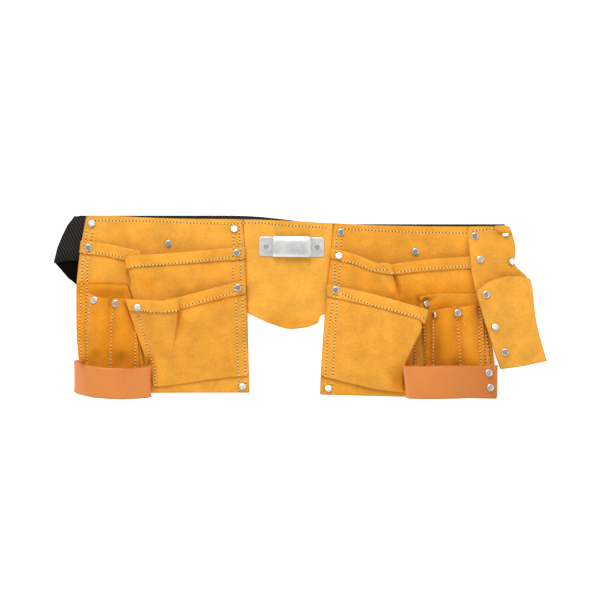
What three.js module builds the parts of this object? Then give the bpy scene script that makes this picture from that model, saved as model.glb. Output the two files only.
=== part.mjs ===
// Carpenter nail apron, lying on its back: two suede bags either side of a centre panel, on a webbing belt.
// Millimetres, +Z up. X runs across the apron, Y up its front.
import * as THREE from 'three';

// Leather and webbing
const SUEDE = 1.8;              // wall of every suede piece
const STRAP_LEATHER = 2.2;      // wall of the hammer loops
const GAP = 0.3;                // clearance between neighbouring pieces
const SEAM_EASE = 0.25;         // extra room where curved layers lie on one another
const LAYER = SUEDE + GAP;      // from one suede layer to the next
const HEM_WIDTH = 12;           // folded band along a pocket mouth

// Bags and centre panel
const BAG_HEIGHT = 195.4;
const LEFT_BAG_WIDTH = 191;
const RIGHT_BAG_WIDTH = 194;
const CENTRE_WIDTH = 99.6;      // between the bags, at the top edge
const RIGHT_FOOT_DROP = 4.6;    // how far the right bag's foot slopes
const RIGHT_FOOT_START = 2.2;   // how far it starts below the left bag's foot

// How far the pocket walls stand off what they are sewn to
const BACK_POCKET_DEPTH = 11;
const NAIL_POCKET_DEPTH = 11;
const RIGHT_NAIL_DEPTH = 17;
const SLOT_DEPTH = 9.2;
const SHEATH_DEPTH = 12;

// Hammer loops
const LOOP_STRAP_WIDTH = 34;
const LEFT_LOOP_SPAN = 86;
const LEFT_LOOP_HEIGHT = 20;
const RIGHT_LOOP_SPAN = 104;
const RIGHT_LOOP_HEIGHT = 21;
const LEFT_LOOP_SLOPE = 0.14;   // the loops lie down the slope of the pockets under them
const RIGHT_LOOP_SLOPE = 0.3;

// Belt
const BELT_WIDTH = 50;
const BELT_THICKNESS = 1.8;
const BELT_FOLD_RADIUS = 1.4;   // middle of the webbing, at a fold
const BELT_STEP = 9.5;          // the belt's right half lies this much lower than its left half
const BELT_LEFT_REACH = 12;     // middle of the left fold, out from the left bag
const BELT_LEFT_FOLD = 65.2;    // degrees from X to the left fold line
const RETURN_DROP = 54;         // the return stretch lies this far below the front stretch
const RETURN_BEND = 75;         // radius of its bend behind the left bag
const RETURN_RISE_BEND = 150;   // radius of its bend behind the right bag
const BELT_RIGHT_REACH = 10;    // middle of the right fold, out from the right bag

// Belt buckle
const BUCKLE_LENGTH = 34;
const BUCKLE_WALL = 2;
const BUCKLE_SIDE = 2.4;
const BUCKLE_PLAY = 0.4;

// Tape clip
const CLIP_LENGTH = 71.3;
const CLIP_WIDTH = 22.2;
const CLIP_STEEL = 1.2;
const CLIP_RISE = 7;
const CLIP_TAB = 15;
const CLIP_FIXING_RADIUS = 2.6;
const CLIP_FIXING_HEIGHT = 1.1;
const CLIP_ASIDE = 3.7;         // its middle, right of the panel's middle
const CLIP_BELOW = 4.7;         // and below the middle of the belt
const CLIP_TURN = -0.8;         // degrees

// Tool holder
const HOLDER_LENGTH = 156;
const HOLDER_WIDTH = 64;

// Rivet caps
const RIVET_RADIUS = 4.5;
const RIVET_HEIGHT = 2.3;
const RIVET_SIDES = 10;

// Colours
const material = (color, roughness, metalness) => new THREE.MeshStandardMaterial({ color, roughness, metalness });
const suede = material(0xe09a3c, 0.9, 0);
const tanLeather = material(0xdc8a4c, 0.55, 0);
const webbing = material(0x2a2827, 0.85, 0);
const nickel = material(0xc9c9c6, 0.3, 1);
const steel = material(0xbfc2c4, 0.35, 1);
const plastic = material(0x1c1c1c, 0.5, 0);

// Tables: one row for each section, columns by name
const table = (columns, rows) => rows.map((row) => Object.fromEntries(columns.map((name, i) => [name, row[i]])));
const clamp = (value, low = 0, high = 1) => Math.min(high, Math.max(low, value));
const ease = (value) => { const t = clamp(value); return t * t * (3 - 2 * t); };
const mix = (a, b, t) => a + (b - a) * t;

function read(rows, key, at, column) {
  if (at <= rows[0][key]) return rows[0][column];
  for (let i = 1; i < rows.length; i++) {
    const [a, b] = [rows[i - 1], rows[i]];
    if (at <= b[key]) return mix(a[column], b[column], (at - a[key]) / (b[key] - a[key]));
  }
  return rows[rows.length - 1][column];
}

// Outline of each bag: its edges as shares of its width, by share of the height
const leftEdges = table(['up', 'left', 'right'], [
  [0, 0.03, 1], [0.2, 0.013, 0.995], [0.24, 0.002, 0.994], [0.49, 0.002, 0.987], [0.61, 0.002, 0.981],
  [0.69, 0.0115, 0.978], [0.86, 0.032, 0.97], [1, 0.058, 0.963],
]);
const rightEdges = table(['up', 'left', 'right'], [
  [0, 0, 1], [0.114, 0, 1.002], [0.2, 0.007, 0.991], [0.285, 0.013, 0.981], [0.352, 0.018, 0.9705],
  [0.48, 0.029, 0.955], [0.626, 0.04, 0.937], [0.772, 0.058, 0.92], [1, 0.075, 1],
]);

const leftBag = { width: LEFT_BAG_WIDTH, edges: leftEdges };
const rightBag = { width: RIGHT_BAG_WIDTH, edges: rightEdges };
leftBag.x = -CENTRE_WIDTH / 2 - LEFT_BAG_WIDTH * read(leftEdges, 'up', 1, 'right');
rightBag.x = CENTRE_WIDTH / 2 - RIGHT_BAG_WIDTH * read(rightEdges, 'up', 1, 'left');
const apronLeft = leftBag.x;
const apronRight = rightBag.x + RIGHT_BAG_WIDTH;
const apronWidth = apronRight - apronLeft;

// The leather's top edge sags a little below the belt, as a share of the bag height
const topEdge = table(['across', 'drop'], [
  [0, 0], [0.08, 0], [0.125, 0.006], [0.19, 0.014], [0.27, 0.0187], [0.39, 0.0198], [0.47, 0.0255], [0.52, 0.031],
  [0.59, 0.041], [0.63, 0.045], [0.7, 0.054], [0.8, 0.0595], [0.91, 0.062], [1, 0.0595],
]);
const topOf = (x) => BAG_HEIGHT * (1 - read(topEdge, 'across', (x - apronLeft) / apronWidth, 'drop'));
const footOf = (x) => -clamp((x - rightBag.x) / RIGHT_BAG_WIDTH) * RIGHT_FOOT_DROP
  - ease((x + CENTRE_WIDTH / 2) / CENTRE_WIDTH) * RIGHT_FOOT_START;

// A place on a bag: u across it and v up it, both shares
function placeOn(bag, u, v) {
  const left = read(bag.edges, 'up', v, 'left');
  const right = read(bag.edges, 'up', v, 'right');
  const x = bag.x + bag.width * (left + u * (right - left));
  return [x, mix(footOf(x), topOf(x), v)];
}

// Belt heights: the return stretch lies on the ground, the front stretch on top of it
const returnLevel = BELT_THICKNESS / 2;
const frontLevel = returnLevel + 2 * BELT_FOLD_RADIUS;
const BELT_STEP_RUN = 0.84 * CENTRE_WIDTH;
const frontY = (x) => BAG_HEIGHT - BELT_WIDTH / 2 - BELT_STEP * ease(0.5 + x / BELT_STEP_RUN);
const returnY = frontY(apronLeft) - RETURN_DROP;
const buckleX = mix(apronLeft, -CENTRE_WIDTH / 2, 0.74);
const buckleOuter = BELT_THICKNESS + 2 * BUCKLE_PLAY + 2 * BUCKLE_WALL;

// Underside of the leather: it lies over the belt, and on the ground below it
const BELT_RAMP = 28;           // run in which the leather comes down from the belt to the ground
const overBelt = frontLevel + BELT_THICKNESS / 2 + GAP;
const rampTop = returnY - BELT_WIDTH / 2 - 2;
const buckleHump = { length: 1.3 * BUCKLE_LENGTH, width: 1.1 * BELT_WIDTH, level: 0.62, fall: 0.5, room: 0.4 };
function undersideAt(x, y) {
  const plateau = overBelt * ease((y - rampTop + BELT_RAMP) / BELT_RAMP);
  const near = Math.hypot((x - buckleX) / buckleHump.length, (y - returnY) / buckleHump.width);
  const fall = ease((near - buckleHump.level) / buckleHump.fall);
  return plateau + (buckleOuter + GAP - overBelt + buckleHump.room) * (1 - fall);
}

// A sheet of even wall from a grid of points on its middle surface, rows up and columns across
function sheet(rows, wall) {
  const height = rows.length;
  const width = rows[0].length;
  const at = (i, j) => rows[clamp(i, 0, height - 1)][clamp(j, 0, width - 1)];
  const turn = (a, b, c) => {
    const before = new THREE.Vector3().subVectors(b, a);
    const after = new THREE.Vector3().subVectors(c, b);
    if (before.lengthSq() > 0) before.normalize();
    if (after.lengthSq() > 0) after.normalize();
    return before.add(after);
  };
  const normals = rows.map((row, i) => row.map((point, j) => {
    const across = turn(at(i, j - 1), point, at(i, j + 1));
    const up = turn(at(i - 1, j), point, at(i + 1, j));
    return across.cross(up).normalize();
  }));
  const positions = [];
  for (const side of [1, -1]) {
    rows.forEach((row, i) => row.forEach((point, j) => {
      const moved = point.clone().addScaledVector(normals[i][j], side * wall / 2);
      positions.push(moved.x, moved.y, moved.z);
    }));
  }
  const index = (side, i, j) => side * width * height + i * width + j;
  const faces = [];
  const quad = (a, b, c, d) => faces.push(a, b, c, a, c, d);
  for (let i = 0; i < height - 1; i++) {
    for (let j = 0; j < width - 1; j++) {
      quad(index(0, i, j), index(0, i, j + 1), index(0, i + 1, j + 1), index(0, i + 1, j));
      quad(index(1, i, j), index(1, i + 1, j), index(1, i + 1, j + 1), index(1, i, j + 1));
    }
    quad(index(0, i, 0), index(0, i + 1, 0), index(1, i + 1, 0), index(1, i, 0));
    quad(index(0, i, width - 1), index(1, i, width - 1), index(1, i + 1, width - 1), index(0, i + 1, width - 1));
  }
  const last = height - 1;
  for (let j = 0; j < width - 1; j++) {
    quad(index(0, 0, j), index(1, 0, j), index(1, 0, j + 1), index(0, 0, j + 1));
    quad(index(0, last, j), index(0, last, j + 1), index(1, last, j + 1), index(1, last, j));
  }
  const geometry = new THREE.BufferGeometry();
  geometry.setAttribute('position', new THREE.Float32BufferAttribute(positions, 3));
  geometry.setIndex(faces);
  return geometry;
}

// A folded hem: the rows turn over at the mouth and come back down on the outside
function withHem(rows) {
  const mouth = rows.length - 1;
  const width = rows[0].length;
  const outward = (i, j) => {
    const row = rows[i];
    const before = row[Math.max(0, j - 1)];
    const after = row[Math.min(width - 1, j + 1)];
    const side = (a, b) => (a.distanceToSquared(b) > 0 ? new THREE.Vector3().subVectors(b, a).normalize()
      : new THREE.Vector3());
    const across = side(before, row[j]).add(side(row[j], after));
    const up = new THREE.Vector3().subVectors(rows[mouth][j], rows[mouth - 1][j]);
    return across.cross(up).normalize();
  };
  const raised = (i, j, lift, forward) => {
    const up = new THREE.Vector3().subVectors(rows[mouth][j], rows[mouth - 1][j]).normalize();
    return rows[i][j].clone().addScaledVector(outward(i, j), lift).addScaledVector(up, forward);
  };
  const columns = [...Array(width).keys()];
  return [...rows,
    columns.map((j) => raised(mouth, j, LAYER / 2, LAYER / 2)),
    columns.map((j) => raised(mouth, j, LAYER, 0)),
    columns.map((j) => raised(mouth - 1, j, LAYER, 0))];
}

// Heights are functions of u and v on a bag. The next layer clears the slope of the one below.
function onTopOf(bag, level, room = SEAM_EASE) {
  const step = 0.01;
  return (u, v) => {
    const slopeX = (level(u + step, v) - level(u - step, v)) / (2 * step * bag.width);
    const slopeY = (level(u, v + step) - level(u, v - step)) / (2 * step * BAG_HEIGHT);
    return level(u, v) + (LAYER + room) * Math.hypot(1, slopeX, slopeY);
  };
}
const backLevel = (bag) => (u, v) => {
  const [x, y] = placeOn(bag, u, v);
  return undersideAt(x, y) + SUEDE / 2;
};

const spread = (count) => [...Array(count + 1).keys()].map((i) => i / count);

// A plain layer between two side lines, from a foot to a mouth
function layerRows(bag, { ups, acrossCount, left, right, foot, mouth, level }) {
  return ups.map((t) => spread(acrossCount).map((s) => {
    const v = mix(foot(s), mouth(s), t);
    const u = mix(left(v), right(v), s);
    const [x, y] = placeOn(bag, u, v);
    return new THREE.Vector3(x, y, level(u, v, s, t));
  }));
}

// Back panels
function backPanel(bag) {
  return sheet(layerRows(bag, {
    ups: [0, 0.15, 0.3, 0.36, 0.42, 0.48, 0.6, 0.72, 0.86, 1],
    acrossCount: 8,
    left: () => 0,
    right: () => 1,
    foot: () => 0,
    mouth: () => 1,
    level: backLevel(bag),
  }), SUEDE);
}

const leftBack = backPanel(leftBag);
const rightBack = backPanel(rightBag);

// A pocket stands off by a share of its depth: nothing at the sewn edges, most near the mouth
const swell = (s) => Math.sin(Math.PI * clamp(s)) ** 0.7;
const rise = (t) => ease(t / 0.55) * 0.85 + 0.15 * ease(t);

// Z-pleats. The first part runs to tip and turns back, and the second starts at back. hem is how much of the
// folded hem lies between the plies, and fold how far the pleat has formed: nothing where the wall is plain.
const leftBackPleat = table(['up', 'tip', 'back', 'hem', 'fold'], [
  [0, 0.457, 0.415, 0, 1], [0.3, 0.452, 0.388, 0, 1], [0.4, 0.445, 0.375, 0, 1], [0.55, 0.428, 0.347, 0, 1],
  [0.63, 0.41, 0.318, 0.4, 1], [0.7, 0.385, 0.296, 1, 1], [0.77, 0.358, 0.277, 1, 1], [0.83, 0.352, 0.274, 1, 1],
]);
const rightBackPleat = table(['up', 'tip', 'back', 'hem', 'fold'], [
  [0, 0.535, 0.501, 0, 1], [0.3, 0.511, 0.47, 0, 1], [0.56, 0.456, 0.408, 0.2, 1], [0.7, 0.405, 0.362, 1, 1],
  [0.77, 0.376, 0.337, 1, 1], [0.84, 0.376, 0.337, 1, 1],
]);
const leftNailPleat = table(['up', 'tip', 'back', 'hem', 'fold'], [
  [0, 0.545, 0.585, 0, 0], [0.15, 0.547, 0.583, 0, 0.04], [0.25, 0.552, 0.578, 0.05, 0.25],
  [0.35, 0.575, 0.56, 0.3, 1], [0.42, 0.59, 0.548, 1, 1], [0.6, 0.594, 0.542, 1, 1],
]);

// How far apart the three plies of a pleat lie: two plain walls, or two walls with two hems between
const plySpacing = (hem) => mix(LAYER + SEAM_EASE, 3 * LAYER + SEAM_EASE, hem);
const insideSpacing = LAYER + SEAM_EASE;
const pleatLift = (hem) => plySpacing(hem) + insideSpacing;
const PLEAT_FADE = 0.2;         // share of the width in which the lifted part comes down again

// Levels of the two parts of a pleated wall. The part named by above lies over the other.
function pleatedLevels(plain, pleat, above) {
  const part = (v) => Object.fromEntries(['tip', 'back', 'hem', 'fold'].map((name) => [name,
    read(pleat, 'up', v, name)]));
  const lifted = (u, v) => {
    const { tip, back, hem, fold } = part(v);
    const away = above === 'right' ? (u - tip) / PLEAT_FADE : (back - u) / PLEAT_FADE;
    return plain(u, v) + fold * pleatLift(hem) * (1 - ease(away));
  };
  const middle = (u, v) => plain(u, v) + part(v).fold * plySpacing(part(v).hem);
  return { part, lifted, middle, low: plain };
}

// Rows of a pleated wall: first part, turn, middle ply, turn, second part. Each part has a mouth line of its own.
function pleatedRows(bag, { ups, left, right, foot, mouth, levels, above, firstCount, secondCount }) {
  const first = above === 'right' ? levels.low : levels.lifted;
  const second = above === 'right' ? levels.lifted : levels.low;
  return ups.map((t) => {
    const guess = mix(foot(0.5), mouth.first(0.5), t);
    const { tip, back } = levels.part(guess);
    const row = [];
    const put = (u, level, part, nudge = 0) => {
      const s = clamp((u - left(guess)) / (right(guess) - left(guess)));
      const v = mix(foot(s), mouth[part](s), t);
      const [x, y] = placeOn(bag, u, v);
      row.push(new THREE.Vector3(x + nudge, y, level(u, v)));
    };
    spread(firstCount).forEach((s) => put(mix(left(guess), tip, s), first, 'first'));
    const average = (a, b) => (u, v) => (a(u, v) + b(u, v)) / 2;
    const firstTurn = average(first, levels.middle);
    const secondTurn = average(levels.middle, second);
    const bulge = (a, b, u) => Math.abs(a(u, guess) - b(u, guess)) / 2;
    const folded = tip > back ? 1 : 0;
    put(tip, firstTurn, 'first', folded * bulge(first, levels.middle, tip));
    put(tip, levels.middle, 'first');
    put(back, levels.middle, 'second');
    put(back, secondTurn, 'second', -folded * bulge(levels.middle, second, back));
    spread(secondCount).forEach((s) => put(mix(back, right(guess), s), second, 'second'));
    return row;
  });
}

// Large pockets. A mouth table has a line for each part of the pleated wall.
const mouthLines = (rows) => ({
  first: (s) => read(rows, 'across', s, 'first'),
  second: (s) => read(rows, 'across', s, 'second'),
});
const leftBackMouth = mouthLines(table(['across', 'first', 'second'], [
  [0, 0.852, 0.766], [0.19, 0.83, 0.766], [0.274, 0.816, 0.769], [0.358, 0.801, 0.775], [0.6, 0.792, 0.797],
  [0.85, 0.792, 0.82], [1, 0.792, 0.832],
]));
const rightBackMouth = mouthLines(table(['across', 'first', 'second'], [
  [0, 0.858, 0.752], [0.136, 0.838, 0.752], [0.2, 0.818, 0.752], [0.264, 0.79, 0.752], [0.337, 0.775, 0.752],
  [0.376, 0.77, 0.757], [0.46, 0.77, 0.778], [0.661, 0.77, 0.801], [0.928, 0.77, 0.82], [1, 0.77, 0.82],
]));
const MOUTH_LEVEL = 0.8;        // share of the bag height at which a large pocket stands off most
const BACK_POCKET_EASE = 1.3 * SEAM_EASE;
const backPocketPuff = (bag) => {
  const base = onTopOf(bag, backLevel(bag), BACK_POCKET_EASE);
  return (u, v) => base(u, v) + BACK_POCKET_DEPTH * swell(u) * rise(v / MOUTH_LEVEL);
};

// Shares of the way up a pocket, the last two a hem's width apart
const upTo = (shares, height) => [...shares.map((t) => t * (1 - HEM_WIDTH / height)), 1];

function backPocket(bag, mouth, pleat, above, firstCount, secondCount) {
  const levels = pleatedLevels(backPocketPuff(bag), pleat, above);
  const rows = pleatedRows(bag, {
    ups: upTo([0, 0.1, 0.25, 0.4, 0.52, 0.64, 0.76, 0.88, 1], 0.81 * BAG_HEIGHT),
    left: () => 0,
    right: () => 1,
    foot: () => 0,
    mouth,
    levels,
    above,
    firstCount,
    secondCount,
  });
  return { levels, geometry: sheet(withHem(rows), SUEDE) };
}
const leftBackPocket = backPocket(leftBag, leftBackMouth, leftBackPleat, 'right', 4, 7);
const rightBackPocket = backPocket(rightBag, rightBackMouth, rightBackPleat, 'left', 5, 6);

// Tool slots: a plain rear layer, and a front layer sewn into two tubes
const leftSlots = {
  bag: leftBag,
  under: onTopOf(leftBag, leftBackPocket.levels.low, 2 * SEAM_EASE),
  rear: { left: () => 0.006, right: (v) => read(leftBackPleat, 'up', v, 'back') - 0.018, mouth: () => 0.612 },
  seams: table(['up', 'left', 'middle', 'right', 'edge'], [
    [0, 0.035, 0.176, 0.322, 0.34], [0.23, 0.058, 0.199, 0.342, 0.362], [0.38, 0.062, 0.207, 0.335, 0.352],
    [0.53, 0.072, 0.213, 0.316, 0.33],
  ]),
  mouth: table(['across', 'up'], [[0, 0.57], [0.15, 0.545], [0.35, 0.536], [1, 0.533]]),
};
const rightSlots = {
  bag: rightBag,
  under: onTopOf(rightBag, rightBackPocket.levels.low, 3 * SEAM_EASE),
  rear: { left: (v) => mix(0.598, 0.572, ease((v - 0.42) / 0.12)), right: () => 0.975,
    mouth: (s) => 0.588 + 0.022 * ease(s / 0.3) },
  seams: table(['up', 'left', 'middle', 'right', 'edge'], [
    [0, 0.63, 0.79, 0.9, 0.925], [0.3, 0.642, 0.805, 0.925, 0.95], [0.42, 0.652, 0.807, 0.93, 0.962],
    [0.55, 0.647, 0.81, 0.945, 0.968],
  ]),
  mouth: table(['across', 'up'], [[0, 0.505], [0.25, 0.522], [0.6, 0.533], [1, 0.55]]),
};
const SLOT_FOOT = 0.045;

function slotRear({ bag, under, rear }) {
  return sheet(layerRows(bag, {
    ups: [0, 0.2, 0.4, 0.55, 0.7, 0.85, 1],
    acrossCount: 5,
    left: rear.left,
    right: rear.right,
    foot: () => SLOT_FOOT,
    mouth: rear.mouth,
    level: under,
  }), SUEDE);
}

const SLOT_COLUMNS = 6;
function slotFront({ bag, under, seams, mouth }) {
  const base = onTopOf(bag, under, 2 * SEAM_EASE);
  const seam = (v, name) => read(seams, 'up', v, name);
  const level = (u, v) => {
    const [a, b, c] = ['left', 'middle', 'right'].map((name) => seam(v, name));
    const s = u < b ? (u - a) / (b - a) : (u - b) / (c - b);
    const open = 0.35 + 0.65 * ease((v - SLOT_FOOT) / 0.22);
    return base(u, v) + SLOT_DEPTH * open * Math.sin(Math.PI * clamp(s)) ** 0.8;
  };
  const ups = [0, 0.14, 0.3, 0.5, 0.75, 1];
  const rows = ups.map((t) => {
    const row = [];
    const put = (from, to, s) => {
      const spot = (v) => mix(seam(v, from), seam(v, to), s);
      const guess = mix(SLOT_FOOT, 0.54, t);
      const share = clamp((spot(guess) - seam(guess, 'left')) / (seam(guess, 'edge') - seam(guess, 'left')));
      const v = mix(SLOT_FOOT, read(mouth, 'across', share, 'up'), t);
      const [x, y] = placeOn(bag, spot(v), v);
      row.push(new THREE.Vector3(x, y, level(spot(v), v)));
    };
    spread(SLOT_COLUMNS).forEach((s) => put('left', 'middle', s));
    spread(SLOT_COLUMNS).slice(1).forEach((s) => put('middle', 'right', s));
    put('right', 'edge', 1);
    return row;
  });
  return { level, geometry: sheet(rows, SUEDE) };
}
const leftSlotFront = slotFront(leftSlots);
const rightSlotFront = slotFront(rightSlots);
const leftSlotRear = slotRear(leftSlots);
const rightSlotRear = slotRear(rightSlots);

// Nail pockets. The left one is pleated, and its left corner rides over the slots.
const leftNail = {
  left: table(['up', 'at'], [[0.034, 0.44], [0.215, 0.406], [0.378, 0.348], [0.524, 0.293], [0.64, 0.29]]),
  right: table(['up', 'at'], [[0, 0.998], [0.1, 0.998], [0.64, 0.99]]),
  foot: table(['across', 'up'], [[0, 0.036], [0.2, 0.042], [0.5, 0.07], [0.8, 0.09], [1, 0.1]]),
  mouth: mouthLines(table(['across', 'first', 'second'], [
    [0, 0.526, 0.527], [0.3, 0.52, 0.527], [0.434, 0.528, 0.538], [0.9, 0.528, 0.625], [1, 0.528, 0.638],
  ])),
};
const rightNail = {
  left: () => 0.004,
  right: table(['up', 'at'], [
    [0.02, 0.476], [0.1, 0.47], [0.168, 0.474], [0.292, 0.528], [0.416, 0.603], [0.5, 0.625], [0.56, 0.625],
  ]),
  foot: table(['across', 'up'], [[0, 0.109], [0.34, 0.074], [0.68, 0.041], [1, 0.027]]),
  mouth: table(['across', 'up'], [[0, 0.638], [0.12, 0.626], [0.44, 0.592], [0.7, 0.553], [1, 0.505]]),
};

const higher = (...levels) => (u, v) => Math.max(...levels.map((level) => level(u, v)));
const overSlots = (slots, front) => {
  const edge = (v) => read(slots.seams, 'up', v, 'edge');
  const lift = onTopOf(slots.bag, front.level, 2 * SEAM_EASE);
  return (u, v) => (u < edge(v) + 0.02 ? lift(Math.min(u, edge(v)), v) : 0);
};
const leftNailBase = higher(onTopOf(leftBag, leftBackPocket.levels.lifted, 2 * SEAM_EASE),
  overSlots(leftSlots, leftSlotFront));

const NAIL_MOUTH_LEVEL = 0.56;  // share of the bag height at which the left nail pocket stands off most
function leftNailPocket() {
  const left = (v) => read(leftNail.left, 'up', v, 'at');
  const right = (v) => read(leftNail.right, 'up', v, 'at');
  const foot = (s) => read(leftNail.foot, 'across', s, 'up');
  const puff = (u, v) => {
    const s = (u - left(v)) / (right(v) - left(v));
    return leftNailBase(u, v) + NAIL_POCKET_DEPTH * swell(s) * rise((v - foot(s)) / (NAIL_MOUTH_LEVEL - foot(s)));
  };
  const levels = pleatedLevels(puff, leftNailPleat, 'left');
  const rows = pleatedRows(leftBag, {
    ups: upTo([0, 0.12, 0.3, 0.5, 0.65, 0.82, 1], 0.5 * BAG_HEIGHT),
    left, right, foot, mouth: leftNail.mouth, levels, above: 'left', firstCount: 6, secondCount: 7,
  });
  return { levels, geometry: sheet(withHem(rows), SUEDE) };
}
const leftNailFront = leftNailPocket();

// The right nail pocket stands off along its right edge, where its side folds back under
const rightNailBase = higher(onTopOf(rightBag, rightBackPocket.levels.lifted, 2 * SEAM_EASE),
  onTopOf(rightBag, rightBackPocket.levels.low, 2 * SEAM_EASE));
const RIGHT_NAIL_COLUMNS = 9;
const SIDE_FOLD = 0.045;        // how far its side folds back under, as a share of the bag width
const standOff = table(['up', 'share'], [[0, 0.16], [0.12, 0.5], [0.3, 0.95], [0.55, 1], [0.8, 0.72], [1, 0.42]]);

function rightNailPocket() {
  const right = (v) => read(rightNail.right, 'up', v, 'at');
  const front = (s, t) => RIGHT_NAIL_DEPTH * read(standOff, 'up', t, 'share') * Math.sin(0.5 * Math.PI * s ** 0.8);
  const level = (s, t) => (u, v) => rightNailBase(u, v) + front(s, t);
  const rows = upTo([0, 0.14, 0.32, 0.5, 0.68, 0.84, 1], 0.5 * BAG_HEIGHT).map((t) => {
    const row = [];
    const put = (s, back, height) => {
      const v = mix(read(rightNail.foot, 'across', s, 'up'), read(rightNail.mouth, 'across', s, 'up'), t);
      const u = mix(rightNail.left(), right(v), s) - back;
      const [x, y] = placeOn(rightBag, u, v);
      row.push(new THREE.Vector3(x, y, height(u, v)));
    };
    spread(RIGHT_NAIL_COLUMNS).forEach((s) => put(s, 0, level(s, t)));
    const edge = (share) => (u, v) => rightNailBase(u, v) + share * front(1, t);
    put(1, 0.3 * SIDE_FOLD, edge(0.5));
    put(1, SIDE_FOLD, edge(0.05));
    return row;
  });
  return sheet(withHem(rows), SUEDE);
}

// Rivet caps
function rivetCap() {
  const profile = [[0, 0], [RIVET_RADIUS, 0], [RIVET_RADIUS, 0.3 * RIVET_HEIGHT],
    [0.72 * RIVET_RADIUS, 0.85 * RIVET_HEIGHT], [0, RIVET_HEIGHT]].map(([r, h]) => new THREE.Vector2(r, h));
  return new THREE.LatheGeometry(profile, RIVET_SIDES).rotateX(Math.PI / 2);
}

// A flat-footed piece set on a surface: above all of the surface under its foot, along its normal
function seat(mesh, x, y, radius, surface) {
  const h = (dx, dy) => surface(x + dx, y + dy);
  const normal = new THREE.Vector3((h(-radius, 0) - h(radius, 0)) / (2 * radius),
    (h(0, -radius) - h(0, radius)) / (2 * radius), 1).normalize();
  const centre = new THREE.Vector3(x, y, h(0, 0));
  let lift = 0;
  for (const share of [0.35, 0.7, 1, 1.15]) {
    for (let k = 0; k < 20; k++) {
      const angle = (k * Math.PI) / 10;
      const [dx, dy] = [share * radius * Math.cos(angle), share * radius * Math.sin(angle)];
      lift = Math.max(lift, new THREE.Vector3(dx, dy, h(dx, dy) - centre.z).dot(normal));
    }
  }
  mesh.position.copy(centre).addScaledVector(normal, lift + 2.2 * GAP);
  mesh.quaternion.setFromUnitVectors(new THREE.Vector3(0, 0, 1), normal);
  return mesh;
}

// Surfaces for seating: the height of the top face over a place, found by looking down on a mesh
function topFaceOf(...geometries) {
  const caster = new THREE.Raycaster();
  const meshes = geometries.map((geometry) => new THREE.Mesh(geometry, new THREE.MeshBasicMaterial({
    side: THREE.DoubleSide,
  })));
  return (x, y, beside = 0) => {
    caster.set(new THREE.Vector3(x, y, 500), new THREE.Vector3(0, 0, -1));
    const hit = caster.intersectObjects(meshes)[0];
    return hit ? hit.point.z : beside;
  };
}

// Belt: a flat loop. Each station is a line across the webbing, given by its two edge points and a normal.
const leftFold = { x: apronLeft - BELT_LEFT_REACH, angle: THREE.MathUtils.degToRad(BELT_LEFT_FOLD) };
const rightFold = { x: apronRight + BELT_RIGHT_REACH };
leftFold.y = frontY(leftFold.x);
rightFold.y = frontY(rightFold.x);
const headingIn = 2 * leftFold.angle - Math.PI;
const lineRun = (RETURN_DROP - RETURN_BEND * (1 - Math.cos(headingIn))) / -Math.sin(headingIn);

// The return stretch: straight from the left fold, an arc to level, level through the buckle, an arc up, and
// straight to the right fold
const riseX = 0.1 * CENTRE_WIDTH;       // where it starts to rise again
const riseRun = rightFold.x - riseX;
const riseClimb = rightFold.y - returnY - RETURN_RISE_BEND;
const riseHeading = Math.atan2(riseClimb, riseRun) + Math.asin(RETURN_RISE_BEND / Math.hypot(riseRun, riseClimb));
const BUCKLE_STATIONS = [-1.36, -0.95, -0.6, 0.6, 0.95, 1.36];   // off the buckle's middle, in buckle lengths
const LAST_SHARE = 0.85;        // the last station is this far along the last straight
function returnRoute() {
  const route = [];
  const add = (x, y, heading) => route.push({ x, y, heading });
  const [dx, dy] = [Math.cos(headingIn) * lineRun, Math.sin(headingIn) * lineRun];
  [0.9, 1].forEach((share) => add(leftFold.x + dx * share, leftFold.y + dy * share, headingIn));
  const bendX = leftFold.x + dx - RETURN_BEND * Math.sin(headingIn);
  spread(6).slice(1).forEach((s) => {
    const heading = headingIn * (1 - s);
    add(bendX + RETURN_BEND * Math.sin(heading), returnY + RETURN_BEND * (1 - Math.cos(heading)), heading);
  });
  BUCKLE_STATIONS.forEach((share) => add(buckleX + share * BUCKLE_LENGTH, returnY, 0));
  spread(3).forEach((s) => {
    const heading = riseHeading * s;
    add(riseX + RETURN_RISE_BEND * Math.sin(heading), returnY + RETURN_RISE_BEND * (1 - Math.cos(heading)), heading);
  });
  const last = route[route.length - 1];
  add(mix(last.x, rightFold.x, LAST_SHARE), mix(last.y, rightFold.y, LAST_SHARE), riseHeading);
  return route;
}

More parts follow.
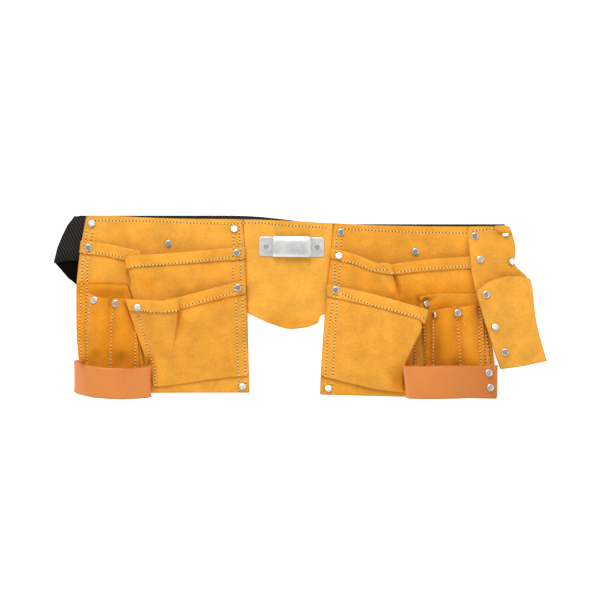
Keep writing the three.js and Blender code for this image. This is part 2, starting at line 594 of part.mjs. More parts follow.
function waistBelt() {
  const route = returnRoute();
  rightFold.angle = (riseHeading + Math.PI) / 2;
  const stations = [];
  const flat = (x, y, heading, z, facing) => {
    const [sx, sy] = [-Math.sin(heading) * BELT_WIDTH / 2, Math.cos(heading) * BELT_WIDTH / 2];
    stations.push({
      a: new THREE.Vector3(x + facing * sx, y + facing * sy, z),
      b: new THREE.Vector3(x - facing * sx, y - facing * sy, z),
      normal: new THREE.Vector3(0, 0, facing),
    });
  };
  // A fold wraps the webbing round a line at an angle. Its stations run along that line.
  const fold = ({ x, y, angle }, side, fromTop) => {
    const along = new THREE.Vector3(Math.cos(angle), Math.sin(angle), 0);
    const out = new THREE.Vector3(-Math.sin(angle), Math.cos(angle), 0).multiplyScalar(side);
    const reach = BELT_WIDTH / 2 / Math.sin(angle);
    const turns = [0, 0.25, 0.5, 0.75, 1].map((t) => (fromTop ? t : 1 - t));
    turns.forEach((t) => {
      const phi = Math.PI * t;
      const middle = new THREE.Vector3(x, y, frontLevel - BELT_FOLD_RADIUS * (1 - Math.cos(phi)))
        .addScaledVector(out, BELT_FOLD_RADIUS * Math.sin(phi));
      const normal = new THREE.Vector3(0, 0, Math.cos(phi)).addScaledVector(out, Math.sin(phi));
      stations.push({
        a: middle.clone().addScaledVector(along, reach),
        b: middle.clone().addScaledVector(along, -reach),
        normal,
      });
    });
  };
  // Front stretch from right to left, left fold, return stretch from left to right, right fold
  spread(12).forEach((s) => {
    const x = mix(rightFold.x - 14, leftFold.x + 16, s);
    flat(x, frontY(x), 0, frontLevel, 1);
  });
  fold(leftFold, 1, true);
  route.forEach(({ x, y, heading }) => {
    const lift = (buckleOuter / 2 - returnLevel)
      * (1 - ease((Math.abs(x - buckleX) - BUCKLE_LENGTH / 2 - 2) / (BUCKLE_LENGTH * 0.8)));
    flat(x, y, heading, returnLevel + lift, -1);
  });
  stations.slice(-route.length).forEach((station) => {
    [station.a, station.b] = [station.b, station.a];
  });
  fold(rightFold, -1, false);
  const section = (station, side, half) => station[side].clone().addScaledVector(station.normal,
    half * BELT_THICKNESS / 2);
  const ring = stations.map((station) => [section(station, 'a', 1), section(station, 'b', 1),
    section(station, 'b', -1), section(station, 'a', -1)]);
  const positions = ring.flat().flatMap((point) => [point.x, point.y, point.z]);
  const faces = [];
  ring.forEach((_, i) => {
    const next = (i + 1) % ring.length;
    for (let k = 0; k < 4; k++) {
      const m = (k + 1) % 4;
      faces.push(4 * i + k, 4 * next + k, 4 * next + m, 4 * i + k, 4 * next + m, 4 * i + m);
    }
  });
  const geometry = new THREE.BufferGeometry();
  geometry.setAttribute('position', new THREE.Float32BufferAttribute(positions, 3));
  geometry.setIndex(faces);
  return geometry;
}
const belt = waistBelt();

// Holder: backing and sheath, hung at a slant over the right bag
const holderTopX = apronRight - 0.14 * HOLDER_WIDTH;
const holderOutline = table(['down', 'left', 'right', 'sheath'], [
  [0, -0.34, 0.372, 0.372], [0.085, -0.337, 0.452, 0.452], [0.176, -0.321, 0.487, 0.487],
  [0.261, -0.304, 0.42, 0.42], [0.317, -0.294, 0.58, 0.58], [0.367, -0.268, 0.722, 0.724],
  [0.458, -0.215, 0.77, 0.779], [0.578, -0.144, 0.765, 0.785], [0.684, -0.052, 0.812, 0.826],
  [0.846, 0.079, 0.895, 0.938], [1, 0.215, 0.975, 1.05],
]);
const holderSpot = (side, down) => [holderTopX + HOLDER_WIDTH * side, BAG_HEIGHT * 0.9375 - HOLDER_LENGTH * down];

// The holder lies over the pieces at the bag's edge, and comes down to the ground beside the bag
const HOLDER_REACH = 7;         // how far round a place its bed is looked for
const HOLDER_SLOPE = 0.7;       // steepest fall of the holder away from its bed
const holderPieces = topFaceOf(rightSlotRear, rightSlotFront.geometry, rightBackPocket.geometry, rightBack, belt);
const BED_COLUMNS = 24;
const BED_ROWS = 44;
const bedSpots = [];
for (let i = 0; i <= BED_COLUMNS; i++) {
  for (let j = 0; j <= BED_ROWS; j++) {
    const [x, y] = holderSpot(mix(-0.5, 1.1, i / BED_COLUMNS), mix(-0.05, 1.05, j / BED_ROWS));
    bedSpots.push([x, y, holderPieces(x, y, 0)]);
  }
}
function holderBase(x, y) {
  const clear = GAP + SUEDE / 2;
  const over = bedSpots.map(([a, b, height]) => height
    - HOLDER_SLOPE * Math.max(0, Math.hypot(x - a, y - b) - HOLDER_REACH));
  return Math.max(0, ...over) > GAP ? Math.max(...over, 0) + clear + SEAM_EASE : SUEDE / 2;
}

const holderLeft = (down) => read(holderOutline, 'down', down, 'left');
const holderRight = (down) => read(holderOutline, 'down', down, 'right');
function holderBacking() {
  const downs = [1, 0.9, 0.78, 0.66, 0.55, 0.46, 0.37, 0.32, 0.265, 0.18, 0.09, 0];
  return sheet(downs.map((down) => spread(6).map((s) => {
    const [x, y] = holderSpot(mix(holderLeft(down), holderRight(down), s), down);
    return new THREE.Vector3(x, y, holderBase(x, y));
  })), SUEDE);
}
const sheathMouth = table(['across', 'down'], [[0, 0.458], [0.26, 0.388], [0.55, 0.353], [0.83, 0.349], [1, 0.367]]);
const sheathFoot = table(['across', 'down'], [[0, 1.007], [0.5, 0.985], [1, 0.95]]);
const sheathRight = (down) => read(holderOutline, 'down', down, 'sheath');
function holderSheath() {
  const rows = [0, 0.12, 0.3, 0.5, 0.7, 0.86, 1].map((t) => spread(8).map((s) => {
    const down = mix(read(sheathFoot, 'across', s, 'down'), read(sheathMouth, 'across', s, 'down'), t);
    const side = mix(holderLeft(down), sheathRight(down), s);
    const [x, y] = holderSpot(side, down);
    const stand = SHEATH_DEPTH * swell(s) * (0.25 + 0.75 * ease(t / 0.7));
    return new THREE.Vector3(x, y, holderBase(x, y) + (LAYER + 2 * SEAM_EASE) * 1.12 + stand);
  }));
  return sheet(rows, SUEDE);
}

// Centre panel: fills the space between the bags, with a lower edge of its own
const centreFoot = table(['across', 'up'], [
  [0, 0.462], [0.22, 0.413], [0.5, 0.375], [0.6, 0.375], [0.8, 0.39], [0.915, 0.413], [0.925, 0.447], [1, 0.449],
]);
function centrePanel() {
  const shares = [0, 0.11, 0.22, 0.36, 0.5, 0.6, 0.7, 0.8, 0.915, 0.925, 1];
  const rows = [0, 0.12, 0.25, 0.4, 0.6, 0.8, 1].map((t) => shares.map((s) => {
    const v = mix(read(centreFoot, 'across', s, 'up'), 1, t);
    const [from] = placeOn(leftBag, 1, v);
    const [to] = placeOn(rightBag, 0, v);
    const x = mix(from + GAP, to - GAP, s);
    const y = mix(footOf(x), topOf(x), v);
    return new THREE.Vector3(x, y, undersideAt(x, y) + SUEDE / 2);
  }));
  return sheet(rows, SUEDE);
}

// Tape clip: two flat tabs and a raised bridge, bent from one strip with a step at each end
const clipProfile = table(['along', 'rise'], [
  [0, 0], [CLIP_TAB / CLIP_LENGTH, 0], [CLIP_TAB / CLIP_LENGTH + 0.012, 1], [0.35, 1.02], [0.5, 1.05], [0.65, 1.02],
  [1 - CLIP_TAB / CLIP_LENGTH - 0.012, 1], [1 - CLIP_TAB / CLIP_LENGTH, 0], [1, 0],
]);
function tapeClip() {
  const rows = [0, 0.12, 0.5, 0.88, 1].map((t) => clipProfile.map(({ along, rise: up }, i) => {
    const corner = (i === 0 || i === clipProfile.length - 1) && (t === 0 || t === 1) ? 0.02 : 0;
    const tuck = up > 0.5 ? 0 : 0.03;
    const y = mix(tuck + corner, 1 - tuck - corner, t);
    const x = along + (along < 0.5 ? corner : -corner);
    return new THREE.Vector3((x - 0.5) * CLIP_LENGTH, (y - 0.5) * CLIP_WIDTH, up * CLIP_RISE + CLIP_STEEL / 2);
  }));
  return sheet(rows, CLIP_STEEL);
}
const clipFixing = () => new THREE.CylinderGeometry(CLIP_FIXING_RADIUS, CLIP_FIXING_RADIUS, CLIP_FIXING_HEIGHT, 12)
  .rotateX(Math.PI / 2).translate(0, 0, CLIP_FIXING_HEIGHT / 2);

// Hammer loops: one strap each, along a path in x and z, leaning down the bag where it stands off
const leftLoopPath = table(['along', 'rise', 'lean'], [
  [0.115, 0, 0], [0.06, 0.02, 0], [0.012, 0.1, 0.01], [-0.01, 0.3, 0.04], [0.02, 0.56, 0.08], [0.1, 0.8, 0.13],
  [0.25, 0.97, 0.2], [0.45, 1, 0.25], [0.65, 0.93, 0.26], [0.82, 0.72, 0.25], [0.94, 0.46, 0.23],
  [1, 0.24, 0.2], [0.97, 0.06, 0.18], [0.86, 0, 0.18],
]);
const rightLoopPath = table(['along', 'rise', 'lean'], [
  [1, 0.13, 0], [0.9, 0.13, 0], [0.78, 0.22, 0], [0.64, 0.5, 0.01], [0.48, 0.83, 0.02], [0.3, 1, 0.03],
  [0.14, 0.93, 0.02], [0.03, 0.66, 0.01], [-0.005, 0.4, 0], [0.03, 0.14, 0], [0.12, 0.02, 0], [0.22, 0, 0],
  [0.32, 0, 0], [0.42, 0, 0], [0.52, 0, 0], [0.62, 0, 0], [0.72, 0, 0], [0.82, 0, 0], [0.9, 0, 0], [0.98, 0, 0],
]);
// Its lower ply follows what it lies on, looked for a little way round each place
const LOOP_BED_REACH = 1.5;
function hammerLoop({ path, span, height, slope, clearance, x, y, bed }) {
  const dys = spread(12).map((t) => (t - 0.58) * 1.16 * LOOP_STRAP_WIDTH);
  const under = (dx) => Math.max(...spread(6).flatMap((s) => dys.map((dy) =>
    bed(x + dx + mix(-LOOP_BED_REACH, LOOP_BED_REACH, s), y + dy) - slope * dy)));
  const rows = [0, 0.5, 1].map((t) => path.map(({ along, rise: up, lean }) => {
    const [dx, dy] = [(along - 0.5) * span, (t - 0.5 - lean) * LOOP_STRAP_WIDTH];
    const level = under(clamp(dx, -0.46 * span, 0.46 * span)) + clearance + STRAP_LEATHER / 2;
    return new THREE.Vector3(x + dx, y + dy, level + up * height + slope * (t - 0.5) * LOOP_STRAP_WIDTH);
  }));
  return sheet(rows, STRAP_LEATHER);
}

// Buckle: a flat sleeve round the webbing
function beltBuckle() {
  const half = BELT_WIDTH / 2 + BUCKLE_PLAY;
  const inner = BELT_THICKNESS / 2 + BUCKLE_PLAY;
  const outline = new THREE.Shape();
  const [w, h] = [half + BUCKLE_SIDE, inner + BUCKLE_WALL];
  outline.moveTo(-w, -h).lineTo(w, -h).lineTo(w, h).lineTo(-w, h).closePath();
  const slot = new THREE.Path();
  slot.moveTo(-half, -inner).lineTo(-half, inner).lineTo(half, inner).lineTo(half, -inner).closePath();
  outline.holes.push(slot);
  return new THREE.ExtrudeGeometry(outline, { depth: BUCKLE_LENGTH, bevelEnabled: false })
    .translate(0, 0, -BUCKLE_LENGTH / 2).rotateY(Math.PI / 2).rotateX(Math.PI / 2);
}

// Assembly
const apron = new THREE.Group();
function add(name, geometry, finish) {
  const mesh = new THREE.Mesh(geometry, finish);
  mesh.name = name;
  apron.add(mesh);
  return mesh;
}

add('waist_belt', belt, webbing);
add('belt_buckle', beltBuckle(), plastic).position.set(buckleX, returnY, buckleOuter / 2);
add('centre_panel', centrePanel(), suede);

add('left_back_panel', leftBack, suede);
add('left_back_pocket', leftBackPocket.geometry, suede);
add('left_tool_slot_rear', leftSlotRear, suede);
add('left_tool_slots', leftSlotFront.geometry, suede);
add('left_nail_pocket', leftNailFront.geometry, suede);

add('right_back_panel', rightBack, suede);
add('right_back_pocket', rightBackPocket.geometry, suede);
add('right_tool_slot_rear', rightSlotRear, suede);
add('right_tool_slots', rightSlotFront.geometry, suede);
const rightNailGeometry = rightNailPocket();
add('right_nail_pocket', rightNailGeometry, suede);

const backing = holderBacking();
const sheath = holderSheath();
add('holder_backing', backing, suede);
add('holder_sheath', sheath, suede);

const leftBed = topFaceOf(leftBackPocket.geometry, leftSlotRear, leftSlotFront.geometry, leftBack,
  leftNailFront.geometry);
const rightBed = topFaceOf(rightBackPocket.geometry, rightSlotFront.geometry, rightSlotRear, rightBack,
  rightNailGeometry);
const [leftLoopX, leftLoopY] = placeOn(leftBag, 0.206, 0.1);
const [rightLoopX, rightLoopY] = placeOn(rightBag, 0.735, 0.1);
add('left_hammer_loop', hammerLoop({
  path: leftLoopPath, span: LEFT_LOOP_SPAN, height: LEFT_LOOP_HEIGHT, slope: LEFT_LOOP_SLOPE, clearance: GAP,
  x: leftLoopX, y: leftLoopY, bed: leftBed,
}), tanLeather);
const rightLoop = add('right_hammer_loop', hammerLoop({
  path: rightLoopPath, span: RIGHT_LOOP_SPAN, height: RIGHT_LOOP_HEIGHT, slope: RIGHT_LOOP_SLOPE, clearance: 5 * GAP,
  x: rightLoopX, y: rightLoopY, bed: rightBed,
}), tanLeather);

// Tape clip on the centre panel
const clipSeat = undersideAt(0, frontY(0)) + SUEDE;
const clip = new THREE.Group();
clip.position.set(CLIP_ASIDE, frontY(0) - CLIP_BELOW, clipSeat + GAP);
clip.rotation.z = THREE.MathUtils.degToRad(CLIP_TURN);
apron.add(clip);
const clipMesh = new THREE.Mesh(tapeClip(), steel);
clipMesh.name = 'tape_clip';
clip.add(clipMesh);
['left', 'right'].forEach((side, i) => {
  const fixing = new THREE.Mesh(clipFixing(), steel);
  fixing.name = `tape_clip_fixing_${side}`;
  fixing.position.set((i === 0 ? -1 : 1) * (CLIP_LENGTH - CLIP_TAB) / 2, 0, CLIP_STEEL + GAP);
  clip.add(fixing);
});

// Rivets: each on the piece named by its row
const rivetRows = table(['bag', 'across', 'up', 'on'], [
  [leftBag, 0.045, 0.954, leftBack], [leftBag, 0.534, 0.855, leftBack], [leftBag, 0.942, 0.941, leftBack],
  [leftBag, 0.047, 0.818, leftBackPocket.geometry], [leftBag, 0.952, 0.805, leftBackPocket.geometry],
  [leftBag, 0.96, 0.035, leftBackPocket.geometry], [leftBag, 0.954, 0.605, leftNailFront.geometry],
  [leftBag, 0.11, 0.523, leftSlotFront.geometry], [leftBag, 0.236, 0.505, leftSlotFront.geometry],
  [leftBag, 0.366, 0.486, leftNailFront.geometry],
  [rightBag, 0.051, 0.949, rightBack], [rightBag, 0.54, 0.85, rightBack],
  [rightBag, 0.052, 0.809, rightBackPocket.geometry], [rightBag, 0.047, 0.037, rightBackPocket.geometry],
  [rightBag, 0.054, 0.612, rightNailGeometry], [rightBag, 0.603, 0.546, rightSlotRear],
  [rightBag, 0.675, 0.485, rightSlotFront.geometry], [rightBag, 0.804, 0.498, rightSlotFront.geometry],
]);
const numbers = new Map();
function addRivet(place, x, y, surface) {
  numbers.set(place, (numbers.get(place) ?? 0) + 1);
  const mesh = new THREE.Mesh(rivetCap(), nickel);
  mesh.name = `${place}_rivet_${numbers.get(place)}`;
  apron.add(seat(mesh, x, y, RIVET_RADIUS, surface));
}
rivetRows.forEach(({ bag, across, up, on }) => {
  const [x, y] = placeOn(bag, across, up);
  addRivet(bag === leftBag ? 'left' : 'right', x, y, topFaceOf(on));
});

// Rivets through the right loop's flat end, and through the holder
const loopRivets = table(['along', 'across'], [[0.405, 0.27], [0.425, -0.21]]);
loopRivets.forEach(({ along, across }) => {
  addRivet('right_loop', rightLoopX + along * RIGHT_LOOP_SPAN, rightLoopY + across * LOOP_STRAP_WIDTH,
    topFaceOf(rightLoop.geometry));
});
const holderRivets = table(['side', 'down', 'on'], [
  [-0.228, 0.067, backing], [0.3, 0.05, backing], [-0.144, 0.233, backing], [0.34, 0.235, backing],
  [-0.053, 0.481, sheath], [0.111, 0.71, sheath], [0.292, 0.887, sheath],
]);
holderRivets.forEach(({ side, down, on }) => {
  const [x, y] = holderSpot(side, down);
  addRivet('holder', x, y, topFaceOf(on));
});

// The origin is under the middle of the apron, on the ground
apron.updateMatrixWorld(true);
const box = new THREE.Box3().setFromObject(apron, true);
apron.position.set(-(box.min.x + box.max.x) / 2, -(box.min.y + box.max.y) / 2, -box.min.z);
apron.updateMatrixWorld(true);

export default apron;
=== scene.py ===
# %% [markdown]
# # A carpenter's nail apron
# The apron lies on its back on a pale table, and the camera looks straight down on it. The measured model
# comes in first as a fixed frame. Every visible surface is then made again over it: soft suede, smooth tan
# leather, ribbed webbing, pressed caps and thread. The frame is kept, hidden, and its boxes place several of
# the dressed pieces.

# %% Open the measured model
import bpy
import bmesh
import math
from functools import partial
from mathutils import Matrix, Vector, noise
from mathutils.bvhtree import BVHTree
from mathutils.kdtree import KDTree


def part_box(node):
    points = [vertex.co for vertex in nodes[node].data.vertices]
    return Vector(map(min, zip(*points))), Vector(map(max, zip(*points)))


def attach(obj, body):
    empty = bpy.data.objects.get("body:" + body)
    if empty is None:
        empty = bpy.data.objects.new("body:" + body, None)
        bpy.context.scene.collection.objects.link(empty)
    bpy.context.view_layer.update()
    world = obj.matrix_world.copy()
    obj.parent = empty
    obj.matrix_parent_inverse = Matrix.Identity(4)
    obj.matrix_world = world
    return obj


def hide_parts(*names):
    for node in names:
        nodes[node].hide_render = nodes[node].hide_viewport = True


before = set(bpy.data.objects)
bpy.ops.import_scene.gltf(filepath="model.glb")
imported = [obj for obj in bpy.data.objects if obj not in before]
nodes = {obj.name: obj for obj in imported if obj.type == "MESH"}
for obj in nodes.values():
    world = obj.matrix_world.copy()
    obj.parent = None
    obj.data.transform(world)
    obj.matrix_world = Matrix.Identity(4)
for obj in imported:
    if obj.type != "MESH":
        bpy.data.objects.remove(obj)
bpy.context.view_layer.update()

MM = 0.001

# %% [markdown]
# ## The camera, the table and the light
# A flat lay is photographed from far away with a long lens, so that thick pieces near the edge hardly lean
# outwards. The picture's scale is 1.1 mm to a pixel, and the left bag's edge and foot tie pixels to the model.
# Soft light from above and from the head of the table gives each layer a narrow shadow below it.

# %% Where a pixel of the picture lies on the model
PIXEL = 1.1 * MM
PICTURE_SIDE = 600
CAMERA_DISTANCE = 3.5
PICTURE_LEVEL = 14 * MM
LEFT_EDGE_PIXEL = 76.0
FOOT_PIXEL = 393.0
bag_low = Vector(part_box("left_back_panel")[0])


def spot(px, py):
    """The point of the picture plane that a pixel shows."""
    across, up = (px - LEFT_EDGE_PIXEL) * PIXEL, (FOOT_PIXEL - py) * PIXEL
    return Vector((bag_low.x + across, bag_low.y + up, PICTURE_LEVEL))


middle = spot(PICTURE_SIDE / 2, PICTURE_SIDE / 2)
camera_data = bpy.data.cameras.new("camera")
camera_data.sensor_width = 36
camera_data.lens = 36 * CAMERA_DISTANCE / (PICTURE_SIDE * PIXEL)
camera = bpy.data.objects.new("camera", camera_data)
camera.location = middle + Vector((0, 0, CAMERA_DISTANCE))
bpy.context.scene.collection.objects.link(camera)
bpy.context.scene.camera = camera
print("lens:", round(camera_data.lens, 1), "mm")

# %% Table and lamps
bpy.context.scene.view_settings.view_transform = "Standard"


def mesh_object(name, vertices, faces, edges=()):
    mesh = bpy.data.meshes.new(name)
    mesh.from_pydata(vertices, list(edges), faces)
    piece = bpy.data.objects.new(name, mesh)
    bpy.context.scene.collection.objects.link(piece)
    return piece


def store_vectors(piece, title, vectors):
    attribute = piece.data.attributes.new(title, "FLOAT_VECTOR", "POINT")
    for item, vector in zip(attribute.data, vectors):
        item.vector = vector


def area_lamp(name, place, size, power):
    data = bpy.data.lights.new(name, "AREA")
    data.shape = "DISK"
    data.size = size
    data.energy = power
    lamp = bpy.data.objects.new(name, data)
    lamp.location = place
    lamp.rotation_euler = (-Vector(place)).to_track_quat("-Z", "Y").to_euler()
    bpy.context.scene.collection.objects.link(lamp)


TABLE_REACH = 6.0
TABLE_LEVEL = -0.2 * MM
table_top = mesh_object("table_top", [(x * TABLE_REACH, y * TABLE_REACH, TABLE_LEVEL)
                                      for x, y in [(-1, -1), (1, -1), (1, 1), (-1, 1)]], [(0, 1, 2, 3)])
area_lamp("head_light", (-0.35, 1.35, 1.5), 1.1, 24)
area_lamp("side_light", (1.3, -0.2, 1.5), 1.3, 7)
area_lamp("foot_light", (-0.9, -1.1, 1.4), 1.3, 7)

# %% [markdown]
# ## Surface effects that several materials share
# Suede, tan leather and the table all need soft patches of lighter and darker colour, and a fine grain. Both
# come from one shader group with its own inputs. A second group gives leather its two colours, from pale
# through deep, and on to a darker tone that is painted shade. A group is built once and then placed in each
# material with its own values, so a change to the effect reaches every material.

# %% Helpers for shader nodes
def add_node(tree, kind, links=None, **values):
    """A new node. The values set its properties. The links give its inputs sockets, nodes or numbers."""
    node = tree.nodes.new(kind)
    for name, value in values.items():
        setattr(node, name, value)
    for name, value in (links or {}).items():
        if isinstance(value, bpy.types.Node):
            value = value.outputs[0]
        if isinstance(value, bpy.types.NodeSocket):
            tree.links.new(value, node.inputs[name])
        else:
            node.inputs[name].default_value = value
    return node


def add_group(tree, group, links):
    return add_node(tree, "ShaderNodeGroup", links, node_tree=group)


def maths(tree, operation, *terms, **values):
    return add_node(tree, "ShaderNodeMath", dict(enumerate(terms)), operation=operation, **values)


def mix_tones(tree, share, first, second):
    """The colour at a share of the way from the first colour to the second."""
    return add_node(tree, "ShaderNodeMix", {0: share, 6: first, 7: second}, data_type="RGBA").outputs[2]


def scaled_by(tree, tone, scale):
    return add_node(tree, "ShaderNodeVectorMath", {0: tone, "Scale": scale}, operation="SCALE")


def ramp(tree, share, *stops):
    """A colour ramp whose stops are positions and colours."""
    node = add_node(tree, "ShaderNodeValToRGB", {0: share})
    for element, (position, colour) in zip(node.color_ramp.elements, stops):
        element.position = position
        element.color = (*colour, 1)
    return node.outputs[0]


def group_tree(name, inputs, outputs):
    tree = bpy.data.node_groups.new(name, "ShaderNodeTree")
    for title, kind, value in inputs:
        socket = tree.interface.new_socket(title, in_out="INPUT", socket_type=kind)
        if value is not None:
            socket.default_value = value
    for title, kind in outputs:
        tree.interface.new_socket(title, in_out="OUTPUT", socket_type=kind)
    return tree, tree.nodes.new("NodeGroupInput").outputs, tree.nodes.new("NodeGroupOutput").inputs


# %% A pale sky that is darker straight overhead
SKY_STRENGTH = 0.82
sky = bpy.data.worlds.new("studio")
bpy.context.scene.world = sky
sky.use_nodes = True
background = sky.node_tree.nodes["Background"].inputs
direction = add_node(sky.node_tree, "ShaderNodeTexCoord")
height = add_node(sky.node_tree, "ShaderNodeSeparateXYZ", {0: direction.outputs["Generated"]})
overhead = ramp(sky.node_tree, height.outputs["Z"], (0.925, (1, 1, 1)), (0.972, (0.27, 0.27, 0.28)))
sky.node_tree.links.new(overhead, background["Color"])
background["Strength"].default_value = SKY_STRENGTH

# %% The mottled grain group
COLOR = "NodeSocketColor"
FLOAT = "NodeSocketFloat"
VECTOR = "NodeSocketVector"
grain_group, given, put_out = group_tree(
    "mottled_grain",
    [("Vector", VECTOR, None), ("Light", COLOR, (0.9, 0.5, 0.1, 1)), ("Deep", COLOR, (0.6, 0.25, 0.03, 1)),
     ("Patch Scale", FLOAT, 30.0), ("Fibre Scale", FLOAT, 900.0), ("Fibre Share", FLOAT, 0.35),
     ("Contrast", FLOAT, 1.0)],
    [("Color", COLOR), ("Height", FLOAT)])
patches = add_node(grain_group, "ShaderNodeTexNoise",
                   {"Vector": given["Vector"], "Scale": given["Patch Scale"], "Detail": 5.0,
                    "Roughness": 0.55})
fibres = add_node(grain_group, "ShaderNodeTexNoise",
                  {"Vector": given["Vector"], "Scale": given["Fibre Scale"], "Detail": 3.0, "Roughness": 0.7})
mixed = add_node(grain_group, "ShaderNodeMix", {0: given["Fibre Share"], 2: patches, 3: fibres})
MIDDLE_GREY = 0.5
offset = maths(grain_group, "SUBTRACT", mixed, MIDDLE_GREY)
spread = maths(grain_group, "MULTIPLY", offset, given["Contrast"])
share = maths(grain_group, "ADD", spread, MIDDLE_GREY, use_clamp=True)
grain_group.links.new(mix_tones(grain_group, share, given["Deep"], given["Light"]), put_out["Color"])
grain_group.links.new(fibres.outputs[0], put_out["Height"])

# %% The worn tones group
# At a depth of 0 the tone is pale, at 1 it is deep, and past 1 it goes on to a darker one that is painted
# shade.
tone_group, given, put_out = group_tree(
    "tones_with_painted_shade",
    [("Depth", FLOAT, 0.0), ("Pale", COLOR, None), ("Deep", COLOR, None), ("Spread", FLOAT, 0.2)],
    [("Light", COLOR), ("Deep", COLOR)])
PAINTED_SHADE_SHARE = 0.5
unshaded_tone = mix_tones(tone_group, given["Depth"], given["Pale"], given["Deep"])
past_deep = maths(tone_group, "SUBTRACT", given["Depth"], 1.0, use_clamp=True)
tone = mix_tones(tone_group, past_deep, unshaded_tone, scaled_by(tone_group, given["Deep"], PAINTED_SHADE_SHARE).outputs[0])
for title, operation in [("Light", "ADD"), ("Deep", "SUBTRACT")]:
    scaled = scaled_by(tone_group, tone, maths(tone_group, operation, 1.0, given["Spread"]))
    tone_group.links.new(scaled.outputs[0], put_out[title])


# %% Starting a material
def new_material(name, **constants):
    """A material with its shader's sockets set, and the tree, shader and object coordinates to build on."""
    made = bpy.data.materials.new(name)
    made.use_nodes = True
    shader = made.node_tree.nodes["Principled BSDF"]
    for title, value in constants.items():
        shader.inputs[title.replace("_", " ")].default_value = value
    place = add_node(made.node_tree, "ShaderNodeTexCoord")
    return made, made.node_tree, shader, place.outputs["Object"]


def add_bump(tree, shader, height_socket, distance, strength):
    links = {"Height": height_socket, "Distance": distance, "Strength": strength}
    bump = add_node(tree, "ShaderNodeBump", links)
    tree.links.new(bump.outputs[0], shader.inputs["Normal"])


def grained(name, tones, scales, share=0.35, contrast=1.0, bump=None, spread=None, **constants):
    """A material in a light and a deep tone, with the scales of its patches and fibres. A bump is a height in
    millimetres and a strength. With a spread, the piece's own tone and its painted shade lead from the first
    tone on."""
    made, tree, shader, where = new_material(name, **constants)
    light, deep = ((*tone, 1) for tone in tones)
    if spread is not None:
        # The per-point value holds each piece's own tone, with painted shade and painted light added at
        # places.
        depth = add_node(tree, "ShaderNodeAttribute", attribute_name="nap_tone_and_painted_shade").outputs["Fac"]
        shaded_tones = add_group(tree, tone_group, {"Depth": depth, "Pale": light, "Deep": deep, "Spread": spread})
        light, deep = shaded_tones.outputs["Light"], shaded_tones.outputs["Deep"]
    grain = add_group(tree, grain_group, {
        "Vector": where, "Light": light, "Deep": deep, "Patch Scale": scales[0], "Fibre Scale": scales[1],
        "Fibre Share": share, "Contrast": contrast})
    tree.links.new(grain.outputs["Color"], shader.inputs["Base Color"])
    if bump:
        add_bump(tree, shader, grain.outputs["Height"], bump[0] * MM, bump[1])
    return made


paper = grained("table_paper", [(0.97, 0.97, 0.97), (0.94, 0.94, 0.94)], (3.0, 400.0), 0.2, Roughness=0.95,
                Specular_IOR_Level=0.1, Emission_Strength=0.45, Emission_Color=(1, 1, 1, 1))
table_top.data.materials.append(paper)
print("shared groups:", [group.name for group in bpy.data.node_groups])

# %% [markdown]
# ## Golden suede
# Suede is the split, brushed side of a hide. It has no shine, only a soft bloom where light grazes the nap,
# fine fibres, and broad patches where the nap lies another way. Sheen on the shader gives the bloom. The
# patches and fibres come from the grain group, read at object coordinates so that they are the same size on
# every piece.

# %% Suede
suede = grained("golden_suede", [(0.69, 0.322, 0.043), (0.645, 0.228, 0.009)], (48.0, 640.0), 0.52, 3.5,
                (0.6, 0.6), 0.2, Roughness=0.92, Sheen_Weight=0.2, Sheen_Roughness=0.45,
                Sheen_Tint=(1.0, 0.78, 0.5, 1), Specular_IOR_Level=0.12)
print("suede uses", len(suede.node_tree.nodes), "nodes")

# %% [markdown]
# ## From measured sheets to soft leather
# The measured model holds each leather piece as a thin closed sheet with flat facets. A copy of it is merged
# and turned back into quads, so that Subdivision Surface can round its curves. The cut edge must stay thin
# and crisp. It is found by its short cross edges, which are exactly as long as the wall is thick, and creased.

# %% Rounded copies of the measured sheets
MERGE_REACH = 0.02 * MM
WALL_TOLERANCE = 0.012 * MM
FLAT_ENOUGH, SQUARE_ENOUGH = math.radians(60), math.radians(70)
RIM_ANGLE, CORNER_ANGLE = math.radians(35), math.radians(38)


def merged_copy(node):
    bm = bmesh.new()
    bm.from_mesh(nodes[node].data)
    bmesh.ops.remove_doubles(bm, verts=bm.verts, dist=MERGE_REACH)
    bmesh.ops.join_triangles(bm, faces=bm.faces, angle_face_threshold=FLAT_ENOUGH,
                             angle_shape_threshold=SQUARE_ENOUGH)
    bmesh.ops.recalc_face_normals(bm, faces=bm.faces)
    return bm


def crease_cut_edges(bm, wall):
    """Creases the two rims of a sheet's cut edge, and pins its corners."""
    crease = bm.edges.layers.float.new("crease_edge")
    pin = bm.verts.layers.float.new("crease_vert")
    partner = {}
    for edge in bm.edges:
        if abs(edge.calc_length() - wall) < WALL_TOLERANCE:
            first, second = edge.verts
            partner.setdefault(first, second)
            partner.setdefault(second, first)
    for edge in bm.edges:
        first, second = edge.verts
        if partner.get(first) is None or partner.get(second) is None or partner[first] is second:
            continue
        if bm.edges.get((partner[first], partner[second])) is not None and edge.calc_face_angle(0) > RIM_ANGLE:
            edge[crease] = 1.0
    for corner in partner:
        rims = [edge for edge in corner.link_edges if edge[crease] > 0]
        if len(rims) == 2:
            ahead = rims[0].other_vert(corner).co - corner.co
            behind = corner.co - rims[1].other_vert(corner).co
            if ahead.length and behind.length and ahead.angle(behind) > CORNER_ANGLE:
                corner[pin] = 1.0


def take_modifiers(piece):
    """Turns the piece's live modifiers into plain mesh."""
    view = bpy.context.evaluated_depsgraph_get()
    baked = bpy.data.meshes.new_from_object(piece.evaluated_get(view))
    baked.name = piece.name
    piece.modifiers.clear()
    piece.data = baked
    for part in baked.polygons:
        part.use_smooth = True


def thicken(piece, thickness, edge_width, edge_steps):
    """Gives a grid the thickness of a sheet, and breaks its edges."""
    wall = piece.modifiers.new("wall", "SOLIDIFY")
    wall.thickness = thickness
    wall.offset = 0
    edge = piece.modifiers.new("edge", "BEVEL")
    edge.width = edge_width
    edge.segments = edge_steps


